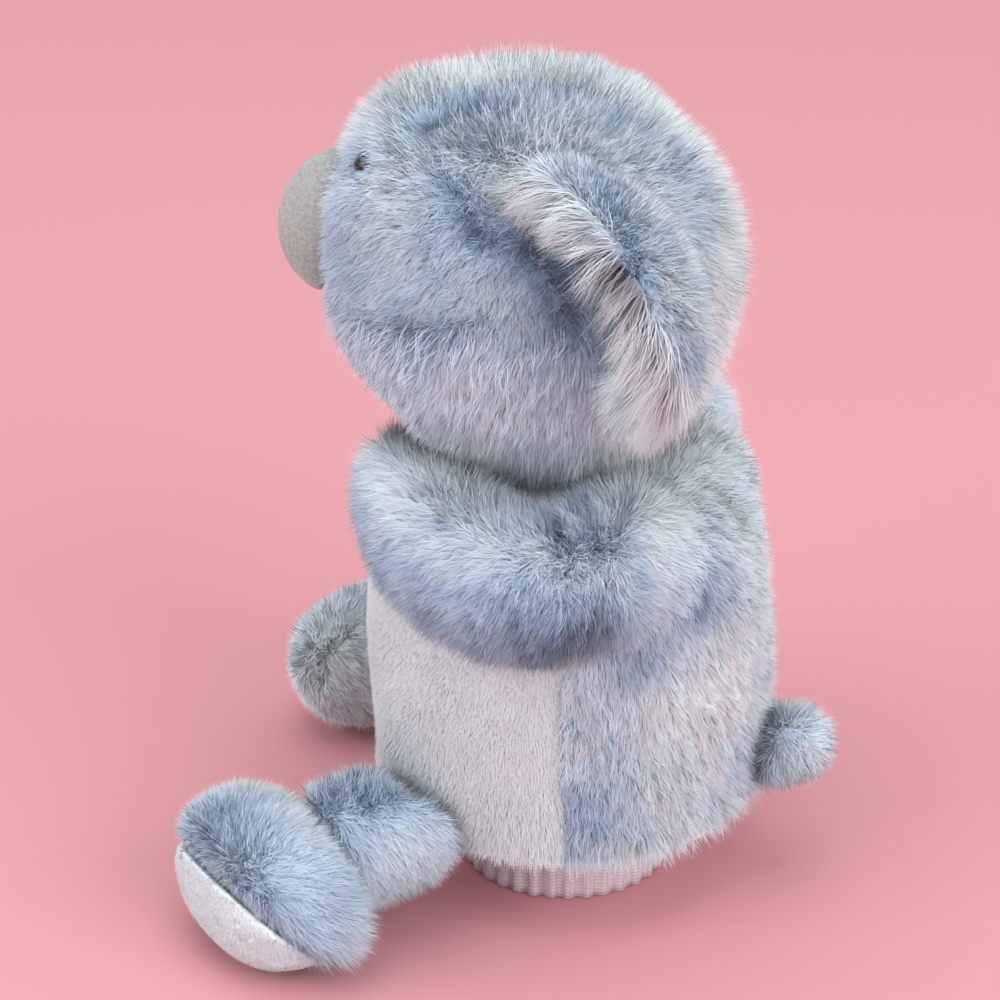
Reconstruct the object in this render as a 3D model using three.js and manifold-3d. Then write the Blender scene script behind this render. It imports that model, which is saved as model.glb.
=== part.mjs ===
// Plush koala hand puppet: a hollow glove body with a stuffed head, ears, arms, legs and tail.
// Millimetres, +Z up. The animal faces -Y and its left side is +X. It stands on its wrist cuff and feet.

import * as THREE from 'three';
import { mergeVertices } from 'three/addons/utils/BufferGeometryUtils.js';
import Module from 'manifold-3d';

const wasm = await Module();
wasm.setup();

// Cloth: a plush wall counts its backing and half of its pile.
const seamGap = 0.3;
const stuffingGap = 0.5;
const plushWall = 5;
const liningWall = 2;
const soleWall = 4;
const noseWall = 2.5;

// Glove body: a round sleeve that swells above its hem and closes to the neck.
const hemHeight = 30;
const hemRadius = 61;
const sleeveRadius = 64;
const sleeveWaistHeight = 72;
const neckHeight = 149;
const neckRadius = 24;
const neckSetBack = 5;
const sleeveRoundness = 2.5;
const sideSeamSetBack = 12;
const hemBindingHeight = 2.4;

// Wrist cuff: the end of the lining, drawn in to a band that grips the wrist.
const cuffRadius = 34;
const cuffWall = 3;
const cuffBandHeight = 18;
const cuffTopHeight = 36;

// Neck sleeve and the finger stall inside the head.
const fingerRadius = 9.5;
const neckSleeveHeight = 13;
const neckSleeveDrop = 3;
const fingerStallLength = 46;
const neckPlay = 3.5;

// Head.
const headHalfWidth = 61;
const headHalfDepth = 61;
const headHalfHeight = 57;
const headForward = 17.5;
const headSink = 4;
const headRoundness = 2.3;
const headTilt = 8;
const headLook = 9;
const headLean = 5;
const neckOpeningRadius = 20;
const headNodUp = 12;
const headNodDown = 6;
const headTurn = 25;

// Nose, eyes and ears, set out from the middle of the head by angles in degrees.
const noseHalfWidth = 18;
const noseHalfHeight = 24;
const noseHalfDepth = 22;
const noseRise = 6;
const noseSink = 4;
const noseRoundness = 2;
const eyeRadius = 4.2;
const eyeBulge = 3.2;
const eyeRise = 28;
const eyeSpread = 23;
const eyeSink = 2.2;
const eyeStemRadius = 1.5;
const eyeStemPast = 1;
const eyePocketRoom = 1;
const eyeWasherRadius = 5;
const eyeWasherThickness = 1.8;
const eyeWasherPress = 1;
const earRimRadius = 39;
const earDepth = 24;
const earBackWall = 4;
const earFrontWall = 3.5;
const earSideAngle = 106;
const earRise = 11;
const earReach = 8.2;
const earLean = 32;
const earTurnOut = 27;
const earFlopForward = 20;
const earFlopBack = 10;

// Arms: from the shoulder round the chest to the paws under the chin. The elbow sizes steer the bend.
const armRadius = 22;
const pawRadius = 21;
const shoulderHeight = 130;
const shoulderSink = 7;
const shoulderBack = 24;
const elbowOut = 24;
const elbowBack = 12;
const elbowDrop = 6;
const forearmForward = 24;
const pawHeight = 142;
const pawSpread = 33;
const pawForward = 39;
const armOpen = 55;

// Legs and feet.
const legRadius = 20;
const footSplay = 44;
const hipSplay = 53;
const hipHeight = 35;
const hipStandOff = 6;
const footReach = 111.5;
const footHalfLength = 23;
const footHalfWidth = 38;
const footHalfHeight = 24.5;
const footDip = 44;
const footRoundness = 2.3;
const soleDepth = 15.5;
const floorFlat = 0.6;
const legRaise = 35;
const legLower = 30;

// Tail.
const tailRadius = 11;
const tailHeight = 43;
const tailLength = 22;
const tailSink = 4;
const tailRise = 4.5;
const tailWag = 20;

// How far a cutter runs past the face that it cuts, the side of a block that fills half of space, and the
// distance within which two corners are one.
const throughCut = 6;
const worldSize = 1000;
const weldDistance = 1e-4;

// Facets round and along the soft forms.
const sleeveSides = 24;
const sleeveRowsBelow = 2;
const sleeveRowsAbove = 6;
const headSides = 22;
const headRows = 12;
const limbSides = 12;
const armSteps = 7;
const stubSteps = 2;
const footSides = 16;
const footRows = 8;
const noseRows = 8;
const earRows = 5;
const capRows = 3;
const trimSides = 14;

const up = new THREE.Vector3(0, 0, 1);
const sideways = new THREE.Vector3(1, 0, 0);
const rad = THREE.MathUtils.degToRad;
const vec = (x, y, z) => new THREE.Vector3(x, y, z);

// Materials.
const cloth = (color, roughness = 0.95) => new THREE.MeshStandardMaterial({ color, roughness, metalness: 0 });
const bluePlush = cloth(0xa3b2c6);
const whitePlush = cloth(0xe9e8ec);
const mottledPlush = cloth(0xc3cad6);
const earPlush = cloth(0xe4e4e8);
const noseFlock = cloth(0xa9a7a5, 0.9);
const liningCloth = cloth(0xb9b2b6, 0.8);
const wadding = cloth(0xf0eee8);
const blackBead = new THREE.MeshStandardMaterial({ color: 0x101014, roughness: 0.15, metalness: 0 });
const washerPlastic = new THREE.MeshStandardMaterial({ color: 0xdcdcd8, roughness: 0.5, metalness: 0 });

// A closed mesh becomes a solid, and a solid a mesh.
function toSolid(geometry) {
  const plain = geometry.clone();
  plain.deleteAttribute('normal');
  plain.deleteAttribute('uv');
  const merged = mergeVertices(plain, weldDistance);
  const vertProperties = new Float32Array(merged.attributes.position.array);
  const triVerts = new Uint32Array(merged.index.array);
  return new wasm.Manifold(new wasm.Mesh({ numProp: 3, vertProperties, triVerts }));
}

function toGeometry(solid) {
  const mesh = solid.getMesh();
  const geometry = new THREE.BufferGeometry();
  geometry.setAttribute('position', new THREE.BufferAttribute(new Float32Array(mesh.vertProperties), 3));
  geometry.setIndex(new THREE.BufferAttribute(new Uint32Array(mesh.triVerts), 1));
  geometry.computeVertexNormals();
  return geometry;
}

// Rings of points, closed at each end by a single point, make one closed skin.
function skin(rings, firstPole, lastPole) {
  const sides = rings[0].length;
  const points = [...rings.flat(), firstPole, lastPole];
  const first = points.length - 2;
  const last = points.length - 1;
  const triangles = [];
  for (let i = 0; i < sides; i += 1) {
    const j = (i + 1) % sides;
    triangles.push(first, j, i);
    for (let row = 0; row + 1 < rings.length; row += 1) {
      const a = row * sides;
      const b = a + sides;
      triangles.push(a + i, a + j, b + j, a + i, b + j, b + i);
    }
    const end = (rings.length - 1) * sides;
    triangles.push(last, end + i, end + j);
  }
  const geometry = new THREE.BufferGeometry();
  geometry.setAttribute('position', new THREE.Float32BufferAttribute(points.flatMap((p) => p.toArray()), 3));
  geometry.setIndex(triangles);
  return geometry;
}

// A ring of points round a centre, in the plane of two directions, anticlockwise from the first.
function ring(centre, u, v, radius, sides) {
  const points = [];
  for (let i = 0; i < sides; i += 1) {
    const angle = (2 * Math.PI * i) / sides;
    const point = centre.clone();
    point.addScaledVector(u, radius * Math.cos(angle));
    point.addScaledVector(v, radius * Math.sin(angle));
    points.push(point);
  }
  return points;
}

// How far the surface of a rounded block lies from its middle along a direction.
function blockReach(direction, half, roundness) {
  const axes = direction.toArray().map((d, k) => Math.abs(d / half[k]) ** roundness);
  return axes.reduce((sum, part) => sum + part, 0) ** (-1 / roundness);
}

// A rounded block: a ball with its own half sizes, squarer as its roundness grows past 2.
function ball(half, roundness, sides, rows) {
  const at = (rise, turn) => {
    const direction = vec(Math.cos(rise) * Math.cos(turn), Math.cos(rise) * Math.sin(turn), Math.sin(rise));
    return direction.multiplyScalar(blockReach(direction, half, roundness));
  };
  const rings = [];
  for (let row = 1; row < rows; row += 1) {
    const rise = -Math.PI / 2 + (Math.PI * row) / rows;
    const points = [];
    for (let i = 0; i < sides; i += 1) points.push(at(rise, (2 * Math.PI * i) / sides));
    rings.push(points);
  }
  return skin(rings, vec(0, 0, -half[2]), vec(0, 0, half[2]));
}

// A stuffed limb: round sections along a curve, with a domed end past each end of the curve.
function limb(curve, radii, sides, steps) {
  const frames = curve.computeFrenetFrames(steps, false);
  const radiusAt = new THREE.CatmullRomCurve3(radii.map((r, i) => vec(i / (radii.length - 1), r, 0)));
  const rings = [];
  const dome = (row, end) => {
    const step = end ? steps : 0;
    const angle = (Math.PI / 2) * (row / capRows);
    const radius = radiusAt.getPoint(step / steps).y;
    const along = (end ? 1 : -1) * radius * Math.sin(angle);
    const centre = curve.getPointAt(step / steps).addScaledVector(frames.tangents[step], along);
    return { centre, radius: radius * Math.cos(angle), step };
  };
  const addRing = ({ centre, radius, step }) => {
    rings.push(ring(centre, frames.normals[step], frames.binormals[step], radius, sides));
  };
  for (let row = capRows - 1; row > 0; row -= 1) addRing(dome(row, false));
  for (let step = 0; step <= steps; step += 1) {
    addRing({ centre: curve.getPointAt(step / steps), radius: radiusAt.getPoint(step / steps).y, step });
  }
  for (let row = 1; row < capRows; row += 1) addRing(dome(row, true));
  return skin(rings, dome(capRows, false).centre, dome(capRows, true).centre);
}

function drum(radius, low, high, sides) {
  const geometry = new THREE.CylinderGeometry(radius, radius, high - low, sides);
  return geometry.rotateX(Math.PI / 2).translate(0, 0, (low + high) / 2);
}

function lathe(profile, sides) {
  const points = profile.map(([r, z]) => new THREE.Vector2(r, z));
  return new THREE.LatheGeometry(points, sides).rotateX(Math.PI / 2);
}

// A block that fills the far side of a plane, wide enough for any piece.
function beyond(point, normal) {
  const block = new THREE.BoxGeometry(worldSize, worldSize, worldSize).translate(0, 0, worldSize / 2);
  const turn = new THREE.Quaternion().setFromUnitVectors(up, normal);
  return toSolid(block.applyQuaternion(turn).translate(point.x, point.y, point.z));
}

// A copy of a geometry turned about an axis through a pivot.
function swung(geometry, pivot, axis, degree) {
  const turned = geometry.clone().translate(-pivot.x, -pivot.y, -pivot.z);
  turned.applyQuaternion(new THREE.Quaternion().setFromAxisAngle(axis, rad(degree)));
  return turned.translate(pivot.x, pivot.y, pivot.z);
}

// What is left of a piece that has to stay clear of its neighbour while it swings about an axis.
function clearOf(solid, neighbour, pivot, axis, degrees) {
  let left = solid;
  for (const degree of degrees) left = left.subtract(toSolid(swung(neighbour, pivot, axis, -degree)));
  return left;
}

const toy = new THREE.Group();
function add(name, solid, material) {
  const mesh = new THREE.Mesh(toGeometry(solid), material);
  mesh.name = name;
  toy.add(mesh);
}

// Glove body. Its outline swells from the hem to the waist and rounds over to the neck.
function sleeveOutline(z) {
  if (z <= sleeveWaistHeight) {
    const below = (sleeveWaistHeight - z) / (sleeveWaistHeight - hemHeight);
    return { radius: sleeveRadius - (sleeveRadius - hemRadius) * below ** 2, setBack: 0 };
  }
  const rise = Math.min((z - sleeveWaistHeight) / (neckHeight - sleeveWaistHeight), 1);
  const swell = (1 - rise ** sleeveRoundness) ** (1 / sleeveRoundness);
  return { radius: neckRadius + (sleeveRadius - neckRadius) * swell, setBack: neckSetBack * rise ** 2 };
}

// The sleeve's ring heights: even below the waist, closer together where it rounds over to the neck.
function sleeveHeights() {
  const heights = [];
  for (let row = 0; row < sleeveRowsBelow; row += 1) {
    heights.push(hemHeight + ((sleeveWaistHeight - hemHeight) * row) / sleeveRowsBelow);
  }
  for (let row = 0; row <= sleeveRowsAbove; row += 1) {
    const rise = Math.sin((Math.PI / 2) * (row / sleeveRowsAbove));
    heights.push(sleeveWaistHeight + (neckHeight - sleeveWaistHeight) * rise);
  }
  return heights;
}

// The outline drawn in square to itself by an inset: level at the hem and straight down at the neck.
function sleeveProfile(amount) {
  const rows = sleeveHeights().map((z) => ({ z, ...sleeveOutline(z) }));
  return rows.map((row, i) => {
    const before = rows[Math.max(i - 1, 0)];
    const after = rows[Math.min(i + 1, rows.length - 1)];
    const slope = new THREE.Vector2(after.z - before.z, before.radius - after.radius).normalize();
    if (i === 0) slope.set(1, 0);
    if (i === rows.length - 1) slope.set(0, 1);
    return { z: row.z - amount * slope.y, radius: row.radius - amount * slope.x, setBack: row.setBack };
  });
}

function profileAt(profile, z) {
  const next = profile.findIndex((row) => row.z > z);
  if (next < 0) return { ...profile[profile.length - 1], z };
  if (next === 0) return { ...profile[0], z };
  const share = (z - profile[next - 1].z) / (profile[next].z - profile[next - 1].z);
  const mix = (key) => THREE.MathUtils.lerp(profile[next - 1][key], profile[next][key], share);
  return { z, radius: mix('radius'), setBack: mix('setBack') };
}

// The filled sleeve, drawn in by an inset, from a low level to a high one or to its own top.
function sleeve(amount, low, high) {
  const profile = sleeveProfile(amount);
  const rows = [profileAt(profile, low), ...profile.filter((row) => row.z > low + seamGap)];
  if (high !== undefined) rows.push(profileAt(profile, high));
  const centre = (row) => vec(0, row.setBack, row.z);
  const rings = rows.map((row) => ring(centre(row), sideways, vec(0, 1, 0), row.radius, sleeveSides));
  return skin(rings, centre(rows[0]), centre(rows[rows.length - 1]));
}

const bodyOuter = sleeve(0, hemHeight);
const bindingTop = hemHeight - seamGap;
const bodyClear = sleeve(-seamGap, bindingTop - hemBindingHeight - seamGap);
const bodyHollow = sleeve(plushWall, hemHeight - throughCut, neckHeight + throughCut);
const plushTube = toSolid(bodyOuter).subtract(toSolid(bodyHollow));
const seamAt = (y) => vec(0, sideSeamSetBack + y, 0);
const frontHalf = beyond(seamAt(-seamGap / 2), vec(0, -1, 0));
const backHalf = beyond(seamAt(seamGap / 2), vec(0, 1, 0));
add('belly_panel', plushTube.intersect(frontHalf), whitePlush);
add('back_panel', plushTube.intersect(backHalf), mottledPlush);

// Lining: backs the plush, stops at the cuff and closes to a hole in which the neck sleeve can turn.
const neckAxis = vec(0, neckSetBack, 0);
const neckSleeveRadius = fingerRadius + 2 * liningWall;
const liningInset = plushWall + seamGap;
const liningTop = neckHeight - liningInset;
const liningBottom = cuffTopHeight + seamGap;
const liningOuter = toSolid(sleeve(liningInset, liningBottom));
const liningHollow = toSolid(sleeve(liningInset + liningWall, liningBottom - throughCut));
const neckHoleRadius = (neckSleeveRadius + seamGap) / Math.cos(Math.PI / trimSides);
const neckHole = drum(neckHoleRadius, liningTop - throughCut, liningTop + throughCut, trimSides);
const neckHoleSolid = toSolid(neckHole.translate(neckAxis.x, neckAxis.y, 0));
add('glove_lining', liningOuter.subtract(liningHollow).subtract(neckHoleSolid), liningCloth);

// Wrist cuff: butts against the lining, funnels in under the hem and stands on the floor as a band.
const cuffTopRadius = profileAt(sleeveProfile(liningInset), cuffTopHeight - cuffWall).radius;
const cuffProfile = [
  [cuffRadius, 0],
  [cuffRadius, cuffBandHeight],
  [cuffTopRadius, cuffTopHeight - cuffWall],
  [cuffTopRadius, cuffTopHeight],
  [cuffTopRadius - liningWall, cuffTopHeight],
  [cuffRadius - cuffWall, cuffBandHeight + cuffWall / 2],
  [cuffRadius - cuffWall, 0],
  [cuffRadius, 0],
];
add('wrist_cuff', toSolid(lathe(cuffProfile, sleeveSides)), liningCloth);

const bindingProfile = [
  [hemRadius, bindingTop - hemBindingHeight],
  [hemRadius, bindingTop],
  [hemRadius - plushWall, bindingTop],
  [hemRadius - plushWall, bindingTop - hemBindingHeight],
  [hemRadius, bindingTop - hemBindingHeight],
];
add('hem_binding', toSolid(lathe(bindingProfile, sleeveSides)), whitePlush);

// Neck sleeve: a short tube held by the lining, round which the head turns and nods.
const neckPivot = vec(0, neckSetBack, neckHeight);
const neckSleeveLow = liningTop - neckSleeveDrop;
const neckSleeveProfile = [
  [neckSleeveRadius, neckSleeveLow],
  [neckSleeveRadius, neckSleeveLow + neckSleeveHeight],
  [fingerRadius, neckSleeveLow + neckSleeveHeight],
  [fingerRadius, neckSleeveLow],
  [neckSleeveRadius, neckSleeveLow],
];
const neckSleeve = lathe(neckSleeveProfile, trimSides).translate(neckAxis.x, neckAxis.y, 0);
add('neck_sleeve', toSolid(neckSleeve), liningCloth);

// Head: a plush ball, open at the neck and stuffed round the stall. It looks up and left, and leans right.
const headHalf = [headHalfWidth, headHalfDepth, headHalfHeight];
const looking = (direction) => direction.applyAxisAngle(up, rad(headLook));
const headCentre = looking(vec(0, -headForward, neckHeight + headHalfHeight - headSink)).add(neckAxis);
const headSet = new THREE.Euler(rad(-headTilt), rad(-headLean), rad(headLook), 'ZXY');
const headFrame = new THREE.Matrix4().makeRotationFromEuler(headSet).setPosition(headCentre);
const headAcross = looking(sideways.clone());
const inset = (half, amount) => half.map((h) => h - amount);
const headBall = (amount) => {
  const round = ball(inset(headHalf, amount), headRoundness, headSides, headRows);
  return round.applyMatrix4(headFrame);
};
const headClear = headBall(-seamGap);
const headNods = [-headNodUp, -headNodUp / 2, 0, headNodDown];
const headTurns = [-headTurn, 0, headLook, headTurn].map((degree) => headLook - degree);
const clearOfBody = (solid) => clearOf(solid, bodyClear, neckPivot, headAcross, headNods);
const onNeck = (geometry) => toSolid(geometry.translate(neckAxis.x, neckAxis.y, 0));
const stallRadius = fingerRadius + liningWall;
const stallLow = neckSleeveLow + neckSleeveHeight + neckPlay;
const stallTop = stallLow + fingerStallLength;
const neckOpening = onNeck(drum(neckOpeningRadius, neckHeight - throughCut, headCentre.z, trimSides));
const sleeveSwing = neckSleeveRadius + neckPlay;
const neckSwing = onNeck(drum(sleeveSwing, neckHeight - throughCut, stallLow, trimSides));
const stallBore = onNeck(drum(stallRadius + seamGap, neckHeight - throughCut, stallTop + seamGap, trimSides));
const headShell = toSolid(headBall(0)).subtract(toSolid(headBall(plushWall)));
const headCore = toSolid(headBall(plushWall + stuffingGap));
let headCover = clearOfBody(headShell.subtract(neckOpening));
let headFilling = clearOfBody(headCore.subtract(stallBore).subtract(neckSwing));

const stallProfile = [
  [0, stallTop - liningWall],
  [fingerRadius, stallTop - 2 * liningWall],
  [fingerRadius, stallLow],
  [stallRadius, stallLow],
  [stallRadius, stallTop - liningWall],
  [stallRadius - liningWall, stallTop],
  [0, stallTop],
];
const fingerStall = onNeck(lathe(stallProfile, trimSides));

// A direction on the head, in degrees round from the face and up from its middle.
function headDirection(turn, rise) {
  const flat = Math.cos(rad(rise));
  return vec(flat * Math.sin(rad(turn)), -flat * Math.cos(rad(turn)), Math.sin(rad(rise)));
}

function onHead(turn, rise, lift) {
  const direction = headDirection(turn, rise);
  const reach = blockReach(direction, headHalf, headRoundness) + lift;
  return direction.multiplyScalar(reach).applyMatrix4(headFrame);
}

// Eyes: a bead on a stem through the cover, held by a washer inside. The cover is drawn in round it.
const eyePocket = eyeRadius + eyePocketRoom;
const washerDepth = plushWall - eyeSink - eyeWasherPress;
const stemLength = washerDepth + eyeWasherThickness + eyeStemPast;
const eyeProfile = [
  [0, -stemLength],
  [eyeStemRadius, -stemLength],
  [eyeStemRadius, 0],
  [eyeRadius, 0],
  [eyeRadius * Math.SQRT1_2, eyeBulge * Math.SQRT1_2],
  [0, eyeBulge],
];
const washerHole = eyeStemRadius + seamGap;
const washerLow = -washerDepth - eyeWasherThickness;
const washerProfile = [
  [washerHole, washerLow],
  [eyeWasherRadius, washerLow],
  [eyeWasherRadius, -washerDepth],
  [washerHole, -washerDepth],
  [washerHole, washerLow],
];
const eyeParts = [];
for (const [side, sign] of [['left', 1], ['right', -1]]) {
  const seat = onHead(sign * eyeSpread, eyeRise, -eyeSink + seamGap);
  const outward = headDirection(sign * eyeSpread, eyeRise).transformDirection(headFrame);
  const placed = (geometry) => {
    const turn = new THREE.Quaternion().setFromUnitVectors(up, outward);
    return toSolid(geometry.applyQuaternion(turn).translate(seat.x, seat.y, seat.z));
  };
  const bead = placed(lathe(eyeProfile, trimSides));
  const washer = placed(lathe(washerProfile, trimSides));
  const socket = placed(drum(eyePocket, -seamGap, throughCut, trimSides));
  const stemHole = placed(drum(washerHole, -plushWall, throughCut, trimSides));
  const roomTop = -washerDepth + seamGap;
  const washerRoom = placed(drum(eyeWasherRadius + seamGap, -stemLength - seamGap, roomTop, trimSides));
  headCover = headCover.subtract(socket).subtract(stemHole).subtract(washerRoom);
  headFilling = headFilling.subtract(washerRoom);
  eyeParts.push([`${side}_eye`, bead, blackBead], [`${side}_eye_washer`, washer, washerPlastic]);
}
add('head_cover', headCover, bluePlush);
add('head_filling', headFilling, wadding);
add('finger_stall', fingerStall, liningCloth);
for (const [name, solid, material] of eyeParts) add(name, solid, material);

// Nose: a flocked oval pad, stuffed and sewn on the face.
const noseHalf = [noseHalfWidth, noseHalfDepth, noseHalfHeight];
const noseSeat = onHead(0, noseRise, -noseSink);
const noseBall = (amount) => {
  const pad = ball(inset(noseHalf, amount), noseRoundness, trimSides, noseRows);
  const placed = pad.applyMatrix4(new THREE.Matrix4().makeRotationFromEuler(headSet));
  return toSolid(placed.translate(noseSeat.x, noseSeat.y, noseSeat.z));
};
const faceClear = toSolid(headClear);
add('nose_cover', noseBall(0).subtract(noseBall(noseWall)).subtract(faceClear), noseFlock);
add('nose_filling', noseBall(noseWall + stuffingGap).subtract(faceClear), wadding);

// Ears: a deep plush cup and its long-haired inner lining, open to the front, cut to sit on the head.
function cupProfile(outer, outerDepth, inner, innerDepth) {
  const arc = (radius, depth, row) => {
    const angle = (Math.PI / 2) * (row / earRows);
    return [radius * Math.sin(angle), -depth * Math.cos(angle)];
  };
  const points = [];
  for (let row = 0; row <= earRows; row += 1) points.push(arc(outer, outerDepth, row));
  for (let row = earRows; row >= 0; row -= 1) points.push(arc(inner, innerDepth, row));
  return points;
}
for (const [side, sign] of [['left', 1], ['right', -1]]) {
  const seat = onHead(sign * earSideAngle, earRise, earReach);
  const open = headDirection(sign * earTurnOut, -earLean).transformDirection(headFrame);
  const turn = new THREE.Quaternion().setFromUnitVectors(up, open);
  const hinge = onHead(sign * earSideAngle, earRise, 0);
  const flops = [-earFlopBack, 0, earFlopForward].map((degree) => -sign * degree);
  const cup = (...sizes) => {
    const geometry = lathe(cupProfile(...sizes), trimSides).applyQuaternion(turn);
    const solid = toSolid(geometry.translate(seat.x, seat.y, seat.z));
    return clearOf(solid, headClear, hinge, up, flops);
  };
  const split = earBackWall + seamGap;
  const back = cup(earRimRadius, earDepth, earRimRadius - earBackWall, earDepth - earBackWall);
  const thick = split + earFrontWall;
  const front = cup(earRimRadius - split, earDepth - split, earRimRadius - thick, earDepth - thick);
  add(`${side}_ear_back`, back, bluePlush);
  add(`${side}_ear_front`, front, earPlush);
}

// Arms: plush sausages from the shoulder round the chest, open at the shoulder, stuffed to the paw.
for (const [side, sign] of [['left', 1], ['right', -1]]) {
  const shoulderOut = sleeveOutline(shoulderHeight).radius - shoulderSink;
  const elbowSpread = sleeveOutline(shoulderHeight).radius + elbowOut;
  const elbowHeight = shoulderHeight - elbowDrop;
  const path = new THREE.CubicBezierCurve3(
    vec(sign * shoulderOut, shoulderBack, shoulderHeight),
    vec(sign * elbowSpread, elbowBack, elbowHeight),
    vec(sign * elbowSpread, -forearmForward, elbowHeight),
    vec(sign * pawSpread, -pawForward, pawHeight),
  );
  const shoulder = vec(sign * shoulderOut, shoulderBack + armRadius, shoulderHeight);
  const swings = [0, armOpen / 4, armOpen / 2, armOpen].map((degree) => sign * degree);
  const sausage = (amount) => {
    const radii = [armRadius, armRadius, armRadius, pawRadius].map((r) => r - amount);
    return toSolid(limb(path, radii, limbSides, armSteps));
  };
  const clear = (solid) => {
    const offBody = clearOf(solid, bodyClear, shoulder, up, swings);
    const offHead = clearOf(offBody, headClear, neckPivot, up, headTurns);
    const bowedHead = swung(headClear, neckPivot, headAcross, headNodDown);
    return clearOf(offHead, bowedHead, neckPivot, up, headTurns);
  };
  add(`${side}_arm_cover`, clear(sausage(0).subtract(sausage(plushWall))), bluePlush);
  add(`${side}_arm_filling`, clear(sausage(plushWall + stuffingGap)), wadding);
}

// Legs: a short stuffed tube from the hem to a wide foot, whose sole is a pale padded disc.
const floor = beyond(vec(0, 0, 0), vec(0, 0, -1));
for (const [side, sign] of [['left', 1], ['right', -1]]) {
  const splayed = (degree) => vec(sign * Math.sin(rad(degree)), -Math.cos(rad(degree)), 0);
  const outward = splayed(footSplay);
  const across = vec(-outward.y, outward.x, 0);
  const hipReach = sleeveOutline(hipHeight).radius + hipStandOff;
  const hip = splayed(hipSplay).multiplyScalar(hipReach).setZ(hipHeight);
  const footCentre = outward.clone().multiplyScalar(footReach).setZ(footHalfHeight - floorFlat);
  const swings = [-legLower, -legLower / 2, 0, legRaise / 2, legRaise];
  const clear = (solid) => clearOf(solid, bodyClear, hip, across.clone().negate(), swings);

  const footTurn = new THREE.Matrix4().makeBasis(across, outward.clone().negate(), up);
  footTurn.setPosition(footCentre);
  const footHalf = [footHalfWidth, footHalfLength, footHalfHeight];
  const foot = (amount) => {
    const round = ball(inset(footHalf, amount), footRoundness, footSides, footRows);
    return round.applyMatrix4(footTurn);
  };
  const soleNormal = outward.clone().multiplyScalar(Math.cos(rad(footDip))).setZ(-Math.sin(rad(footDip)));
  const soleAt = (lift) => footCentre.clone().addScaledVector(soleNormal, footHalfLength - soleDepth + lift);
  const footShell = toSolid(foot(0)).subtract(toSolid(foot(plushWall))).subtract(floor);
  add(`${side}_foot_upper`, footShell.subtract(beyond(soleAt(-seamGap / 2), soleNormal)), bluePlush);
  const soleShell = toSolid(foot(0)).subtract(toSolid(foot(soleWall + seamGap))).subtract(floor);
  add(`${side}_foot_sole`, soleShell.intersect(beyond(soleAt(seamGap / 2), soleNormal)), whitePlush);
  add(`${side}_foot_filling`, toSolid(foot(plushWall + stuffingGap)), wadding);

  const path = new THREE.LineCurve3(hip, footCentre);
  const footClear = toSolid(foot(-seamGap));
  const tube = (amount) => {
    const radius = legRadius - amount;
    return toSolid(limb(path, [radius, radius], limbSides, stubSteps));
  };
  const legShell = tube(0).subtract(tube(plushWall)).subtract(footClear).subtract(floor);
  add(`${side}_leg_cover`, clear(legShell), bluePlush);
  add(`${side}_leg_filling`, clear(tube(plushWall + stuffingGap).subtract(footClear)), wadding);
}

// Tail: a small stuffed stub on the back.
const tailRoot = vec(0, sleeveOutline(tailHeight).radius - tailSink, tailHeight);
const tailTip = vec(0, tailRoot.y + tailLength - tailRadius + tailSink, tailHeight + tailRise);
const tailPath = new THREE.LineCurve3(tailRoot, tailTip);
const tailSwings = [-tailWag, 0, tailWag];
const stub = (amount) => {
  const radius = tailRadius - amount;
  return toSolid(limb(tailPath, [radius, radius], limbSides, stubSteps));
};
const tailClear = (solid) => clearOf(solid, bodyClear, tailRoot, up, tailSwings);
add('tail_cover', tailClear(stub(0).subtract(stub(plushWall))), bluePlush);
add('tail_filling', tailClear(stub(plushWall + stuffingGap)), wadding);

// The origin lies on the floor under the middle of the toy.
const extent = new THREE.Box3().setFromObject(toy);
toy.position.y = -(extent.min.y + extent.max.y) / 2;

export default toy;
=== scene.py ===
# %% [markdown]
# # A plush koala hand puppet
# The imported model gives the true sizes, the bodies and the joints. This lesson dresses it: stuffed forms
# under the cloth, a long pile that is grown on them, a short nap on the belly and soles, and the trims.
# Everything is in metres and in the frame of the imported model, so each piece goes where the model says.

# %% Frame and tools
import math

import bmesh
import bpy
import numpy as np
from mathutils import Matrix, Vector, noise


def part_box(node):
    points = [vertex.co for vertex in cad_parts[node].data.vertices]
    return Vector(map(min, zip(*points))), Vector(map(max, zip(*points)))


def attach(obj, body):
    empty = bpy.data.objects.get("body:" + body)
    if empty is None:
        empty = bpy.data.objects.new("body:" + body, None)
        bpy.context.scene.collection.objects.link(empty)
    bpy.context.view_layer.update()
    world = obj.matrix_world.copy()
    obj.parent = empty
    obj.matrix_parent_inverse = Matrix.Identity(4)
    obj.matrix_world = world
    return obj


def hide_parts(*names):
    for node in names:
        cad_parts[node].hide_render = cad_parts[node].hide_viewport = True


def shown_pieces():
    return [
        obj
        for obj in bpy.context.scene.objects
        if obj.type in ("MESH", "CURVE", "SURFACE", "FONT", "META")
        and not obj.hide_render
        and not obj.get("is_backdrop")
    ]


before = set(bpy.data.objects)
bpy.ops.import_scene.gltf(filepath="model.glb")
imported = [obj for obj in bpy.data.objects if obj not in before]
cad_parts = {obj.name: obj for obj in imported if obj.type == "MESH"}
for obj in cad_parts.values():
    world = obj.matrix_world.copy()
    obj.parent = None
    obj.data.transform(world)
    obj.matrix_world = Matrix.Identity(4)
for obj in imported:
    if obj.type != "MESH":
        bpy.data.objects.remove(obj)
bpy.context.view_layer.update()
MM = 0.001
SIDES = (("left", 1), ("right", -1))
scene = bpy.context.scene

# %% [markdown]
# ## Camera
# The animal sits in profile, seen from its left side and about 24 degrees above the table, with a long
# lens. A camera needs a place, a direction and a focal length; `to_track_quat` turns the direction into
# a rotation that keeps the picture level.

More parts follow.
